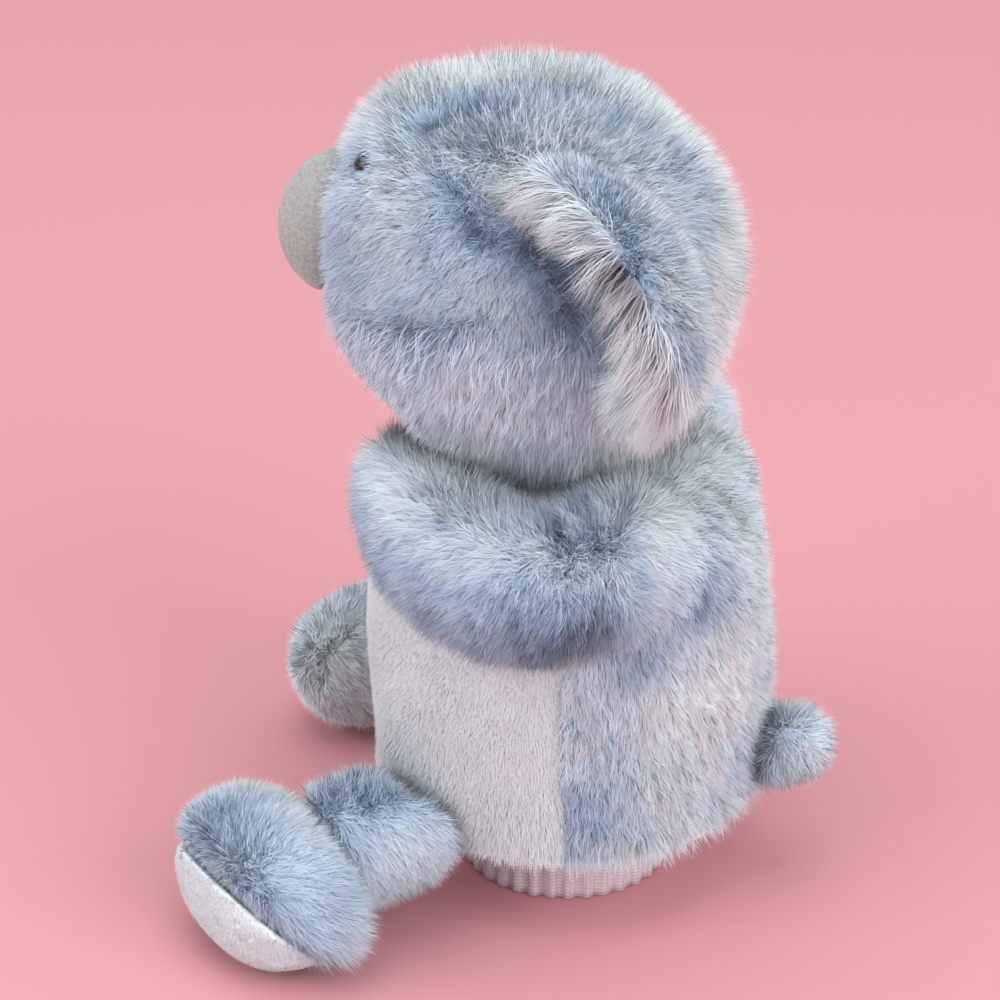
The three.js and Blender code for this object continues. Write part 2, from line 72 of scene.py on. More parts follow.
# %% Camera
BODY_Y = sum(corner.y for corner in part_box("wrist_cuff")) / 2 / MM
EYE = Vector((0.8484, 0.1584 + BODY_Y * MM, 0.5183))
LOOK = Vector((-0.8901, -0.1892, -0.4147))
camera_data = bpy.data.cameras.new("studio_camera")
camera_data.sensor_width = 36.0
camera_data.lens = 109.1
camera = bpy.data.objects.new("studio_camera", camera_data)
camera.matrix_world = Matrix.Translation(EYE) @ LOOK.to_track_quat("-Z", "Y").to_matrix().to_4x4()
scene.collection.objects.link(camera)
scene.camera = camera
scene.view_settings.view_transform = "Standard"
print("camera lens", camera_data.lens)

# %% [markdown]
# ## Floor and light
# A pale pink sheet of card runs under and behind the toy. One wide plane does for the floor, and the
# world shows the same pink to the camera where the plane ends. Pink card throws pink light on white plush,
# so diffuse rays meet a paler tone of it, as if white boards lay just outside the picture. Two large soft
# boxes stand in front, one to each side, a third hangs overhead, and the world fills the shadows.


# %% Floor and light
def from_srgb(red, green, blue):
    """Colour numbers of a screen, 0 to 255, as the linear numbers that shaders use."""
    parts = np.array((red, green, blue)) / 255
    return tuple(np.where(parts > 0.04045, ((parts + 0.055) / 1.055) ** 2.4, parts / 12.92))


def finish_of(name, roughness, gloss=0.5, **more):
    """A new material, its node tree and its shader, with plain values on the shader's own sockets."""
    made = bpy.data.materials.new(name)
    made.use_nodes = True
    shader = made.node_tree.nodes["Principled BSDF"]
    values = {"Roughness": roughness, "Specular IOR Level": gloss}
    values.update({key.replace("_", " ").title(): value for key, value in more.items()})
    for key, value in values.items():
        shader.inputs[key].default_value = value
    return made, made.node_tree, shader


CARD_PINK = from_srgb(210, 147, 151)
CARD_BOUNCE = from_srgb(210, 170, 173)
FILL_COLOUR, FILL_STRENGTH = (0.93, 0.96, 1.0, 1), 0.8
LAMP_COLOUR = (0.96, 0.98, 1.0)
FLOOR_HALF = 4.0
card, card_tree, card_shader = finish_of("pink_card", 0.9, 0.1)
card_rays = card_tree.nodes.new("ShaderNodeLightPath")
card_tone = card_tree.nodes.new("ShaderNodeMix")
card_tone.data_type = "RGBA"
card_tone.inputs["A"].default_value = (*CARD_PINK, 1)
card_tone.inputs["B"].default_value = (*CARD_BOUNCE, 1)
card_tree.links.new(card_rays.outputs["Is Diffuse Ray"], card_tone.inputs["Factor"])
card_tree.links.new(card_tone.outputs["Result"], card_shader.inputs["Base Color"])
floor_mesh = bpy.data.meshes.new("floor")
corners = [(x * FLOOR_HALF, y * FLOOR_HALF, 0) for x, y in ((-1, -1), (1, -1), (1, 1), (-1, 1))]
floor_mesh.from_pydata(corners, [], [(0, 1, 2, 3)])
floor_mesh.materials.append(card)
floor = bpy.data.objects.new("floor", floor_mesh)
scene.collection.objects.link(floor)
floor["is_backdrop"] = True

world = bpy.data.worlds.new("studio")
world.use_nodes = True
scene.world = world
sky = world.node_tree.nodes
fill = sky["Background"]
fill.inputs["Color"].default_value = FILL_COLOUR
fill.inputs["Strength"].default_value = FILL_STRENGTH
wall = sky.new("ShaderNodeBackground")
wall.inputs["Color"].default_value = (*CARD_PINK, 1)
path = sky.new("ShaderNodeLightPath")
choose = sky.new("ShaderNodeMixShader")
world.node_tree.links.new(path.outputs["Is Camera Ray"], choose.inputs[0])
world.node_tree.links.new(fill.outputs[0], choose.inputs[1])
world.node_tree.links.new(wall.outputs[0], choose.inputs[2])
world.node_tree.links.new(choose.outputs[0], sky["World Output"].inputs["Surface"])


def soft_lamp(name, place, target, size, energy):
    """A square soft box that points at a target."""
    lamp = bpy.data.lights.new(name, "AREA")
    lamp.size = size
    lamp.energy = energy
    lamp.color = LAMP_COLOUR
    box = bpy.data.objects.new(name, lamp)
    turn = (Vector(target) - Vector(place)).to_track_quat("-Z", "Y")
    box.matrix_world = Matrix.Translation(place) @ turn.to_matrix().to_4x4()
    scene.collection.objects.link(box)


TOY_MIDDLE, BOX_SIZE = (0, 0, 0.12), 2.2
soft_lamp("left_box", (1.8, -2.1, 1.5), TOY_MIDDLE, BOX_SIZE, 42.0)
soft_lamp("right_box", (1.6, 2.2, 1.6), TOY_MIDDLE, BOX_SIZE, 58.0)
soft_lamp("top_box", (0.3, 0.0, 2.8), TOY_MIDDLE, BOX_SIZE, 30.0)
print("card", [round(c, 3) for c in CARD_PINK])

# %% [markdown]
# ## Mesh helpers
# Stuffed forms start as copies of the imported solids: a cover and its filling are joined, and a voxel
# remesh wraps one even skin round them. The skin is then drawn in by part of the pile's height, because
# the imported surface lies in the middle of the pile. Sheets are made the other way, from rows of points
# with faces woven between them.


# %% Mesh helpers
def new_object(name, mesh):
    """An object at the origin that shows this mesh."""
    form = bpy.data.objects.new(name, mesh)
    scene.collection.objects.link(form)
    return form


def plain(form):
    """Turns a form's modifiers into plain mesh."""
    graph = bpy.context.evaluated_depsgraph_get()
    mesh = bpy.data.meshes.new_from_object(form.evaluated_get(graph), depsgraph=graph)
    form.modifiers.clear()
    old, form.data = form.data, mesh
    bpy.data.meshes.remove(old)
    mesh.name = form.name
    return form


def points_of(form):
    found = np.empty(len(form.data.vertices) * 3)
    form.data.vertices.foreach_get("co", found)
    return found.reshape(-1, 3)


def normals_of(form):
    found = np.empty(len(form.data.vertices) * 3, dtype=np.float32)
    form.data.vertex_normals.foreach_get("vector", found)
    return found.reshape(-1, 3).astype(float)


def place_points(form, points):
    form.data.vertices.foreach_set("co", points.ravel())
    form.data.update()


def triangles_of(form):
    form.data.calc_loop_triangles()
    return len(form.data.loop_triangles)


def faced(name, points, faces):
    """A smooth object from points and the faces between them."""
    mesh = bpy.data.meshes.new(name)
    mesh.from_pydata(points, [], faces)
    mesh.shade_smooth()
    return new_object(name, mesh)


def woven(name, points, wide, closed=False, ring=False):
    """A sheet through rows of points in mm, each row as many points wide. closed joins the two ends of a row,
    and ring the last row to the first."""
    rows = len(points) // wide
    faces = []
    for r in range(rows if ring else rows - 1):
        here, there = r * wide, (r + 1) % rows * wide
        for k in range(wide if closed else wide - 1):
            n = (k + 1) % wide
            faces.append((here + k, here + n, there + n, there + k))
    return faced(name, [tuple(c * MM for c in p) for p in points], faces)


SMOOTH_ROUNDS = 6


def soft_form(name, nodes, draw_in, voxel=3.0):
    """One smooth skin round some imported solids, drawn in along its normals, sizes in mm."""
    mesh = bpy.data.meshes.new(name)
    joined = bmesh.new()
    for node in nodes:
        joined.from_mesh(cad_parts[node].data)
    bmesh.ops.remove_doubles(joined, verts=joined.verts, dist=1e-6)
    joined.to_mesh(mesh)
    joined.free()
    form = new_object(name, mesh)
    wrap = form.modifiers.new("wrap", "REMESH")
    wrap.mode = "VOXEL"
    wrap.voxel_size = voxel * MM
    even = form.modifiers.new("even", "SMOOTH")
    even.factor = 0.5
    even.iterations = SMOOTH_ROUNDS
    plain(form)
    place_points(form, points_of(form) - normals_of(form) * draw_in * MM)
    form.data.shade_smooth()
    return form


# %% [markdown]
# ## Stuffing
# A stuffed limb is round because its wadding pushes the cover out from inside. Cloth with pressure does
# the same: the skin swells for a few frames, each point's move is capped, and the result becomes plain
# mesh. Gravity is off, because the wadding carries the cover.


# %% Stuffing
STUFFING_FRAMES, STUFFING_PRESSURE = 16, 4.0


def stuff(form, cap):
    """Swells a closed skin by cloth pressure. The cap is the furthest that a point may move, in mm."""
    start = points_of(form)
    cloth = form.modifiers.new("stuffing", "CLOTH")
    cloth.settings.quality = 5
    cloth.settings.mass = 0.15
    cloth.settings.tension_stiffness = 12
    cloth.settings.compression_stiffness = 12
    cloth.settings.bending_stiffness = 3
    cloth.settings.use_pressure = True
    cloth.settings.uniform_pressure_force = STUFFING_PRESSURE
    cloth.settings.effector_weights.gravity = 0
    cloth.point_cache.frame_start = 1
    cloth.point_cache.frame_end = STUFFING_FRAMES
    for step in range(1, STUFFING_FRAMES + 1):
        scene.frame_set(step)
    plain(form)
    scene.frame_set(1)
    move = points_of(form) - start
    length = np.linalg.norm(move, axis=1, keepdims=True)
    move *= np.minimum(1, cap * MM / np.maximum(length, 1e-9))
    place_points(form, start + move)
    print(f"{form.name}: stuffed, mean move {length.mean() / MM:.2f} mm")
    form.data.shade_smooth()
    return form


# %% [markdown]
# ## Painting a skin
# The pile reads four values from the skin under it. `tint` runs from white, 0, to deep blue-grey, 1.
# `comb` is the way that the pile lies, `lengthen` its share of the full length, and `cover` its share of
# the full density. Clouds of smooth noise give the blotches of the dyed plush.


# %% Painting a skin
def clouds(points, size, shift=0.0):
    """Smooth noise from about -1 to 1, with blotches of a size in mm."""
    offset = Vector((shift, shift * 0.7, -shift))
    return np.array([noise.noise(Vector(p) / (size * MM) + offset) for p in points])


def swirls(points, size, shifts):
    """Three clouds as the parts of a vector, to ruffle the comb of a pile."""
    return np.stack([clouds(points, size, shift) for shift in shifts], 1)


def step_up(values, low, high):
    """0 below low, 1 above high, smooth between."""
    share = np.clip((values - low) / (high - low), 0, 1)
    return share * share * (3 - 2 * share)


def along_skin(vectors, normals):
    """The part of each vector that lies in the skin."""
    return vectors - normals * (vectors * normals).sum(1, keepdims=True)


def paint(form, **layers):
    """Stores values on a skin's points: single numbers, or vectors."""
    store = form.data.attributes
    for name, values in layers.items():
        if name in store:
            store.remove(store[name])
        kind, key = ("FLOAT_VECTOR", "vector") if values.ndim == 2 else ("FLOAT", "value")
        store.new(name, kind, "POINT").data.foreach_set(key, values.astype(np.float32).ravel())


def from_line(points, line):
    """The shortest vector to each point from a line of several straight runs."""
    best = np.full(points.shape, 1.0)
    for a, b in zip(line[:-1], line[1:]):
        run = b - a
        share = np.clip((points - a) @ run / (run @ run), 0, 1)
        away = points - a - share[:, None] * run
        nearer = np.linalg.norm(away, axis=1) < np.linalg.norm(best, axis=1)
        best[nearer] = away[nearer]
    return best


def coat(form, tint, comb, lengthen=1.0, cover=1.0, partings=()):
    """Paints a skin for its pile. At a parting, a line with its width in mm and its depth, the pile is short,
    darkened by painted shade and combed away to both sides."""
    points, normals = points_of(form), normals_of(form)
    ones = np.ones(len(points))
    tint, lengthen, cover = tint * ones, lengthen * ones, cover * ones
    comb = along_skin(np.broadcast_to(comb, points.shape), normals)
    for line, width, depth in partings:
        away = from_line(points, np.array(line) * MM)
        distance = np.linalg.norm(away, axis=1)
        near = np.exp(-((distance / (width * MM)) ** 2))
        # Painted shade: the parting's depth darkens the tint.
        tint = tint + depth * near
        lengthen = lengthen * (1 - (0.3 + 0.5 * depth) * near)
        push = along_skin(away / np.maximum(distance, 1e-6)[:, None], normals)
        comb = comb * (1 - near[:, None]) + push * 1.3 * near[:, None]
    paint(form, tint=np.clip(tint, 0, 1), comb=comb, lengthen=lengthen, cover=np.clip(cover, 0, 1))


DOWN = np.array((0.0, 0.0, -1.0))
FORWARD = np.array((0.0, -1.0, 0.0))
print("skin values: tint, comb, lengthen, cover")

# %% [markdown]
# ## Pile material
# Each strand carries two numbers in a UV map: its tint across and its place along, 0 at the root. One
# colour ramp turns the tint into a dyed fibre, and a second darkens the root, where little light comes
# in. Because nothing else is read, the colour is the same from every side.


# %% Pile material
def ramp(tree, stops):
    """A colour ramp through (place, colour) stops."""
    made = tree.nodes.new("ShaderNodeValToRGB")
    spots = made.color_ramp.elements
    spots.remove(spots[1])
    spots[0].position, spots[0].color = stops[0][0], (*stops[0][1], 1)
    for place, colour in stops[1:]:
        spots.new(place).color = (*colour, 1)
    return made


def times(tree, a, b):
    """The product of two colours."""
    made = tree.nodes.new("ShaderNodeMix")
    made.data_type = "RGBA"
    made.blend_type = "MULTIPLY"
    made.inputs["Factor"].default_value = 1.0
    tree.links.new(a, made.inputs["A"])
    tree.links.new(b, made.inputs["B"])
    return made.outputs["Result"]


def grain_of(tree, scale, detail=2.0):
    """Fine noise on Object coordinates."""
    place = tree.nodes.new("ShaderNodeTexCoord")
    grain = tree.nodes.new("ShaderNodeTexNoise")
    grain.inputs["Scale"].default_value = scale
    grain.inputs["Detail"].default_value = detail
    tree.links.new(place.outputs["Object"], grain.inputs["Vector"])
    return grain.outputs["Fac"]


def pile_material(name, dyes, root):
    """Fibre colours for a pile: dyes by tint, and the painted shade that darkens its root."""
    made, tree, shader = finish_of(name, 0.8, 0.2, sheen_weight=0.4, sheen_roughness=0.6)
    strand = tree.nodes.new("ShaderNodeUVMap")
    strand.uv_map = "strand"
    split = tree.nodes.new("ShaderNodeSeparateXYZ")
    tree.links.new(strand.outputs["UV"], split.inputs[0])
    dye = ramp(tree, dyes)
    tree.links.new(split.outputs["X"], dye.inputs["Fac"])
    shade = ramp(tree, [(0.0, root), (0.4, tuple(0.35 * r + 0.55 for r in root)), (0.8, (1, 1, 1))])
    tree.links.new(split.outputs["Y"], shade.inputs["Fac"])
    colour = times(tree, dye.outputs["Color"], shade.outputs["Color"])
    tree.links.new(colour, shader.inputs["Base Color"])
    return made


def skin_material(name, dyes, shade):
    """The woven backing under a pile, dyed as the pile is and darkened by a painted shade, with a fine knit.
    """
    made, tree, shader = finish_of(name, 0.95, 0.1)
    value = tree.nodes.new("ShaderNodeAttribute")
    value.attribute_name = "tint"
    dye = ramp(tree, [(place, tuple(shade * c for c in colour)) for place, colour in dyes])
    tree.links.new(value.outputs["Fac"], dye.inputs["Fac"])
    knit = ramp(tree, [(0.3, (0.75, 0.75, 0.75)), (0.7, (1, 1, 1))])
    tree.links.new(grain_of(tree, 900.0), knit.inputs["Fac"])
    tree.links.new(times(tree, dye.outputs["Color"], knit.outputs["Color"]), shader.inputs["Base Color"])
    return made


# The last stops, from 0.85 to 1, give the painted shade of partings and folds.
BLUE_DYES = [
    (0.0, from_srgb(250, 253, 254)),
    (0.3, from_srgb(234, 243, 250)),
    (0.6, from_srgb(204, 222, 241)),
    (0.85, from_srgb(158, 181, 209)),
    (1.0, from_srgb(88, 102, 126)),
]
WHITE_DYES = [(0.0, from_srgb(247, 252, 254)), (1.0, from_srgb(228, 233, 238))]
# The ear's darkest stop is painted shade, for the fold and the gap in the ear.
EAR_DYES = [(0.0, from_srgb(238, 248, 252)), (0.6, from_srgb(210, 219, 228)), (1.0, from_srgb(142, 142, 150))]
# Painted shade at the roots: each pile's root colour darkens its fibres near the skin.
ROOT_SHADE = (0.72, 0.74, 0.78)
SHAGGY_ROOT_SHADE = (0.6, 0.61, 0.64)
WHITE_ROOT_SHADE = (0.9, 0.9, 0.92)
fur = {
    "blue_plush": pile_material("blue_plush_pile", BLUE_DYES, ROOT_SHADE),
    "mottled_plush": pile_material("mottled_plush_pile", BLUE_DYES, SHAGGY_ROOT_SHADE),
    "white_plush": pile_material("white_plush_nap", WHITE_DYES, WHITE_ROOT_SHADE),
    "ear_plush": pile_material("ear_plush_pile", EAR_DYES, (0.78, 0.79, 0.82)),
}
# Each backing is darkened by its painted shade, as it lies under the pile.
backing = {
    "blue_plush": skin_material("blue_plush_backing", BLUE_DYES, 0.72),
    "mottled_plush": skin_material("mottled_plush_backing", BLUE_DYES, 0.64),
    "white_plush": skin_material("white_plush_backing", WHITE_DYES, 0.92),
}
print("pile materials:", ", ".join(fur))

# %% [markdown]
# ## Growing the pile
# Plush is cloth with cut fibres standing out of it. Particle hair is not exported, and modelling each
# fibre by hand is hopeless, so a Geometry Nodes tree does it: points are scattered over the skin, each
# gets one thin pointed blade, and the blade's points are then placed along a bent path that starts on the
# skin, follows the comb and leans towards the middle of its tuft. The tufts are the cells of a Voronoi
# texture. Each blade takes a soft normal from its skin, so that the coat is lit as one round form, and the
# tree stores the two numbers that the pile material reads.


# %% Growing the pile
class Tree:
    """A Geometry Nodes tree with short calls for the nodes that the pile needs."""

    def __init__(self, name):
        self.group = bpy.data.node_groups.new(name, "GeometryNodeTree")

    def socket(self, name, kind, default=None, side="INPUT"):
        made = self.group.interface.new_socket(name, in_out=side, socket_type="NodeSocket" + kind)
        if default is not None:
            made.default_value = default

    def put(self, socket, value):
        if isinstance(value, bpy.types.NodeSocket):
            self.group.links.new(value, socket)
        else:
            socket.default_value = value

    def node(self, kind, wires=(), **settings):
        made = self.group.nodes.new(kind)
        for key, value in settings.items():
            setattr(made, key, value)
        shown = [s for s in made.inputs if s.enabled]
        for key, value in dict(wires).items():
            self.put(shown[key] if isinstance(key, int) else next(s for s in shown if s.name == key), value)
        return [s for s in made.outputs if s.enabled]

    def sums(self, operation, *values):
        return self.node("ShaderNodeMath", enumerate(values), operation=operation)[0]

    def vectors(self, operation, *values):
        return self.node("ShaderNodeVectorMath", enumerate(values), operation=operation)[0]

    def scaled(self, vector, amount):
        wires = {"Vector": vector, "Scale": amount}
        return self.node("ShaderNodeVectorMath", wires, operation="SCALE")[0]

    def read(self, name, kind="FLOAT_VECTOR"):
        return self.node("GeometryNodeInputNamedAttribute", {"Name": name}, data_type=kind)[0]

    def keep(self, geometry, name, value, kind="FLOAT_VECTOR", domain="POINT"):
        wires = {"Geometry": geometry, "Name": name, "Value": value}
        return self.node("GeometryNodeStoreNamedAttribute", wires, data_type=kind, domain=domain)[0]

    def random(self, low, high, seed, kind="FLOAT"):
        wires = {"Min": low, "Max": high, "Seed": seed}
        return self.node("FunctionNodeRandomValue", wires, data_type=kind)[0]


PILE_SIZES = {
    "Strands per m2": 4e6, "Length": 0.009, "Width": 0.0004, "Tuft size": 0.004, "Tuft pull": 0.5,
    "Tuft lean": 0.5, "Spread": 0.34, "Tint scatter": 0.09, "Lift": 0.7,
}


def pile_tree():
    """The tree: scatter, aim, place a blade on each point, bend it, and store its numbers."""
    t = Tree("plush_pile")
    t.socket("Skin", "Geometry")
    for name, default in PILE_SIZES.items():
        t.socket(name, "Float", default)
    t.socket("Seed", "Int", 1)
    t.socket("Blade", "Object")
    t.socket("Fibre", "Material")
    t.socket("Pile", "Geometry", side="OUTPUT")
    given = {s.name: s for s in t.group.nodes.new("NodeGroupInput").outputs}
    place = t.node("GeometryNodeInputPosition")[0]
    density = t.sums("MULTIPLY", given["Strands per m2"], t.read("cover", "FLOAT"))
    wires = {"Mesh": given["Skin"], "Density": density, "Seed": given["Seed"]}
    roots, facing, _ = t.node("GeometryNodeDistributePointsOnFaces", wires)
    roots = t.keep(roots, "facing", facing)
    facing = t.read("facing")

    wires = {"Vector": place, "Scale": t.sums("DIVIDE", 1.0, given["Tuft size"])}
    _, tuft_colour, tuft_middle = t.node("ShaderNodeTexVoronoi", wires)[:3]
    tuft_lean = t.vectors("SUBTRACT", tuft_colour, (0.5, 0.5, 0.5))
    to_tuft = t.vectors("SUBTRACT", tuft_middle, place)
    depth = t.vectors("DOT_PRODUCT", to_tuft, facing)
    to_tuft = t.vectors("SUBTRACT", to_tuft, t.scaled(facing, depth))

    def drawn(number):
        return t.sums("ADD", given["Seed"], number)

    stray = t.random((-1, -1, -1), (1, 1, 1), drawn(101), "FLOAT_VECTOR")
    aim = t.vectors("ADD", t.vectors("ADD", facing, t.read("comb")), t.scaled(stray, given["Spread"]))
    aim = t.vectors("NORMALIZE", t.vectors("ADD", aim, t.scaled(tuft_lean, given["Tuft lean"])))
    length = t.sums("MULTIPLY", given["Length"], t.random(0.65, 1.1, drawn(202)))
    length = t.sums("MULTIPLY", length, t.read("lengthen", "FLOAT"))
    reach = t.vectors("ADD", t.scaled(aim, length), t.scaled(to_tuft, given["Tuft pull"]))
    rise = t.scaled(facing, t.sums("MULTIPLY", length, given["Lift"]))
    turn = t.random((-1, -1, -1), (1, 1, 1), drawn(303), "FLOAT_VECTOR")
    turn = t.vectors("ADD", reach, t.scaled(turn, t.sums("MULTIPLY", length, 0.3)))
    side = t.vectors("NORMALIZE", t.vectors("CROSS_PRODUCT", turn, facing))
    soft = t.vectors("ADD", t.scaled(aim, 0.25), t.scaled(tuft_lean, given["Tuft lean"]))
    soft = t.vectors("ADD", facing, soft)
    tuft_tone = t.vectors("DOT_PRODUCT", tuft_lean, (1, 1, 1))
    tone = t.sums("ADD", t.random(-1.0, 1.0, drawn(404)), tuft_tone)
    tone = t.sums("ADD", t.read("tint", "FLOAT"), t.sums("MULTIPLY", tone, given["Tint scatter"]))
    tone = t.sums("MINIMUM", t.sums("MAXIMUM", tone, 0.01), 0.99)
    for name, value in (("root", place), ("rise", rise), ("reach", reach), ("side", side), ("soft", soft)):
        roots = t.keep(roots, name, value)
    roots = t.keep(roots, "tone", tone, "FLOAT")

    blade = t.node("GeometryNodeObjectInfo", {"Object": given["Blade"]})[-1]
    strands = t.node("GeometryNodeInstanceOnPoints", {"Points": roots, "Instance": blade})[0]
    strands = t.node("GeometryNodeRealizeInstances", {"Geometry": strands})[0]
    across, _, along = t.node("ShaderNodeSeparateXYZ", {0: t.vectors("SUBTRACT", place, t.read("root"))})
    spot = t.sums("ADD", t.read("tone", "FLOAT"), t.sums("MULTIPLY", across, 0.006))
    spot = t.node("ShaderNodeCombineXYZ", {"X": spot, "Y": t.sums("MULTIPLY_ADD", along, 0.96, 0.02)})[0]
    for name in ("strand", "OFBake"):
        strands = t.keep(strands, name, spot, "FLOAT2", "CORNER")
    bow = t.sums("MULTIPLY", along, t.sums("SUBTRACT", 1.0, along))
    path = t.vectors("ADD", t.read("root"), t.scaled(t.read("rise"), bow))
    path = t.vectors("ADD", path, t.scaled(t.read("reach"), t.sums("MULTIPLY", along, along)))
    wide = t.sums("MULTIPLY", across, given["Width"])
    path = t.vectors("ADD", path, t.scaled(t.read("side"), wide))
    strands = t.node("GeometryNodeSetPosition", {"Geometry": strands, "Position": path})[0]
    soft = t.vectors("NORMALIZE", t.read("soft"))
    strands = t.node("GeometryNodeSetMeshNormal", {"Mesh": strands, "Custom Normal": soft}, mode="FREE")[0]
    spent = ("root", "rise", "reach", "side", "soft", "tone", "facing", "comb", "tint", "lengthen", "cover")
    for name in spent:
        strands = t.node("GeometryNodeRemoveAttribute", {"Geometry": strands, "Name": name})[0]
    done = t.node("GeometryNodeSetMaterial", {"Geometry": strands, "Material": given["Fibre"]})[0]
    t.group.links.new(done, t.group.nodes.new("NodeGroupOutput").inputs[0])
    return t.group


# The tree copies and bends one of two flat fibres, each 1 wide and 1 long.
bent_points = [(-0.5, 0, 0), (0.5, 0, 0), (0.42, 0, 0.55), (-0.42, 0, 0.55), (0, 0, 1)]
bent_blade = faced("bent_blade", bent_points, [(0, 1, 2, 3), (3, 2, 4)])
short_blade = faced("short_blade", [(-0.5, 0, 0), (0.5, 0, 0), (0, 0, 1)], [(0, 1, 2)])
pile = pile_tree()
pile_inputs = {s.name: s.identifier for s in pile.interface.items_tree if s.in_out == "INPUT"}
strand_count = 0


def grow(name, skin, body, slot, per_mm2, length, seed, width=0.3, blade=bent_blade, **sizes):
    """Grows one layer of pile on a painted skin, lengths in mm, and lets it ride on a body."""
    global strand_count
    layer = skin.modifiers.new("pile", "NODES")
    layer.node_group = pile
    values = {"Strands per m2": per_mm2 * 1e6, "Length": length * MM, "Width": width * MM, "Seed": seed}
    values.update({key.replace("_", " ").capitalize(): value for key, value in sizes.items()})
    values.update({"Blade": blade, "Fibre": fur[slot]})
    for key, value in values.items():
        layer[pile_inputs[key]] = value
    graph = bpy.context.evaluated_depsgraph_get()
    mesh = bpy.data.meshes.new_from_object(skin.evaluated_get(graph), depsgraph=graph)
    skin.modifiers.remove(layer)
    mesh.name = name
    grown = new_object(name, mesh)
    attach(grown, body)
    strands = len(mesh.vertices) // len(blade.data.vertices)
    strand_count += strands
    print(f"{name}: {strands} strands, {triangles_of(grown)} triangles")


WOOL_PER_MM2, COAT_PER_MM2, TIPS_PER_MM2 = 3.4, 1.8, 4.4


def full_coat(name, skin, body, slot, length, seed, thick=1.0, tips=TIPS_PER_MM2, **sizes):
    """A long pile in three layers: short wool, the coat itself, and fine loose tips."""
    grow(f"{name}_pile_under", skin, body, slot, WOOL_PER_MM2, 0.66 * length, seed, width=0.45,
         blade=short_blade)
    grow(f"{name}_pile_main", skin, body, slot, COAT_PER_MM2 * thick, length, seed + 1, width=0.32, **sizes)
    grow(f"{name}_pile_tips", skin, body, slot, tips, 1.1 * length, seed + 2, width=0.2, blade=short_blade,
         tuft_size=0.003, tuft_pull=0.3, tuft_lean=0.3, spread=0.5)


def settle(form, body, slot, *nodes, material=None):
    """Gives a finished form its material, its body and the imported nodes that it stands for."""
    form.data.materials.clear()
    form.data.materials.append(material or backing[slot])
    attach(form, body)
    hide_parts(*nodes)
    print(f"{form.name}: {triangles_of(form)} triangles")


print("pile inputs:", ", ".join(pile_inputs))

# %% [markdown]
# ## Head
# The head is a stuffed ball of dyed plush, blue-grey on the crown and upper cheeks and paler towards the
# jaw and the nape; its top is painted paler still, as painted light from above. Its pile is grown in three
# layers: a short dense undercoat that hides the backing, the main coat, and fine loose tips that soften the
# outline. A few longer locks lie over the lower face. The pile is kept short round the eyes and off the nose,
# and it parts along the seams and folds. Painted shade darkens these partings and rings the eyes.


# %% Head
HEAD_LOOK, HEAD_LEAN = math.radians(9), math.radians(-5)
TO_HEAD = np.array((Matrix.Rotation(HEAD_LOOK, 3, "Z") @ Matrix.Rotation(HEAD_LEAN, 3, "Y")).transposed())
HEAD_MIDDLE = np.array((2.74, BODY_Y - 12.28, 202.0)) * MM


def looking(points):
    """Points of the head's own frame, in mm from its middle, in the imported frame."""
    return np.array(points) @ TO_HEAD + HEAD_MIDDLE / MM


def middle_of(node):
    low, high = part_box(node)
    return (np.array(low) + np.array(high)) / 2


def mirrored(line):
    """A line of points in mm, and its copy on the other side."""
    return [line, [(-x, y, z) for x, y, z in line]]


def bulged(form, middle, way, height, wide=0.75):
    """Pushes a form out along its normals round one direction from a middle point, by a height in mm."""
    points = points_of(form)
    arms = points - middle
    arms /= np.linalg.norm(arms, axis=1, keepdims=True)
    share = step_up(arms @ (np.array(way) / np.linalg.norm(way)), wide, 1.0)
    place_points(form, points + normals_of(form) * (share * height * MM)[:, None])


head = stuff(soft_form("head_plush", ("head_cover", "head_filling"), draw_in=2.8), cap=2.0)
BROW_WAY, JAW_WAY = (0.0, -0.82, 0.57), (0.0, -0.75, -0.66)
BROW_OUT, JAW_OUT = 6.0, -4.0
bulged(head, HEAD_MIDDLE, np.array(BROW_WAY) @ TO_HEAD, BROW_OUT)
bulged(head, HEAD_MIDDLE, np.array(JAW_WAY) @ TO_HEAD, JAW_OUT)
spots = points_of(head)
x, y, z = ((spots - HEAD_MIDDLE) @ TO_HEAD.T).T / MM
EYE_SLIT = (1.0, 0.7, 1.4)
from_eyes = [np.linalg.norm((spots - middle_of(f"{s}_eye")) * EYE_SLIT, axis=1) for s, _ in SIDES]
eye_distance = np.min(from_eyes, axis=0)
nose_low, nose_high = (np.array(c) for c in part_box("nose_cover"))
nose_middle = (nose_low + nose_high) / 2
nose_half = (nose_high - nose_low) / 2
nose_share = np.linalg.norm((spots - nose_middle)[:, (0, 2)] / nose_half[(0, 2),], axis=1)
nose_share = np.where(spots[:, 1] < nose_high[1] + 0.012, nose_share, 9)
blotches = 0.24 * clouds(spots, 24, 3.1) + 0.14 * clouds(spots, 10, 7.7)
# The paler jaw is the plush's own colour; the paler top of the head is painted light from above.
tint = 0.56 + blotches - 0.18 * step_up(-z, 4, 30) - 0.16 * step_up(z, 10, 40)
nape = step_up(42 - 0.8 * np.maximum(z, 0) - np.abs(x), -3, 5) * step_up(y, 22, 32)
crown = step_up(z, 36, 48) * step_up(-np.abs(x), -18, -8)
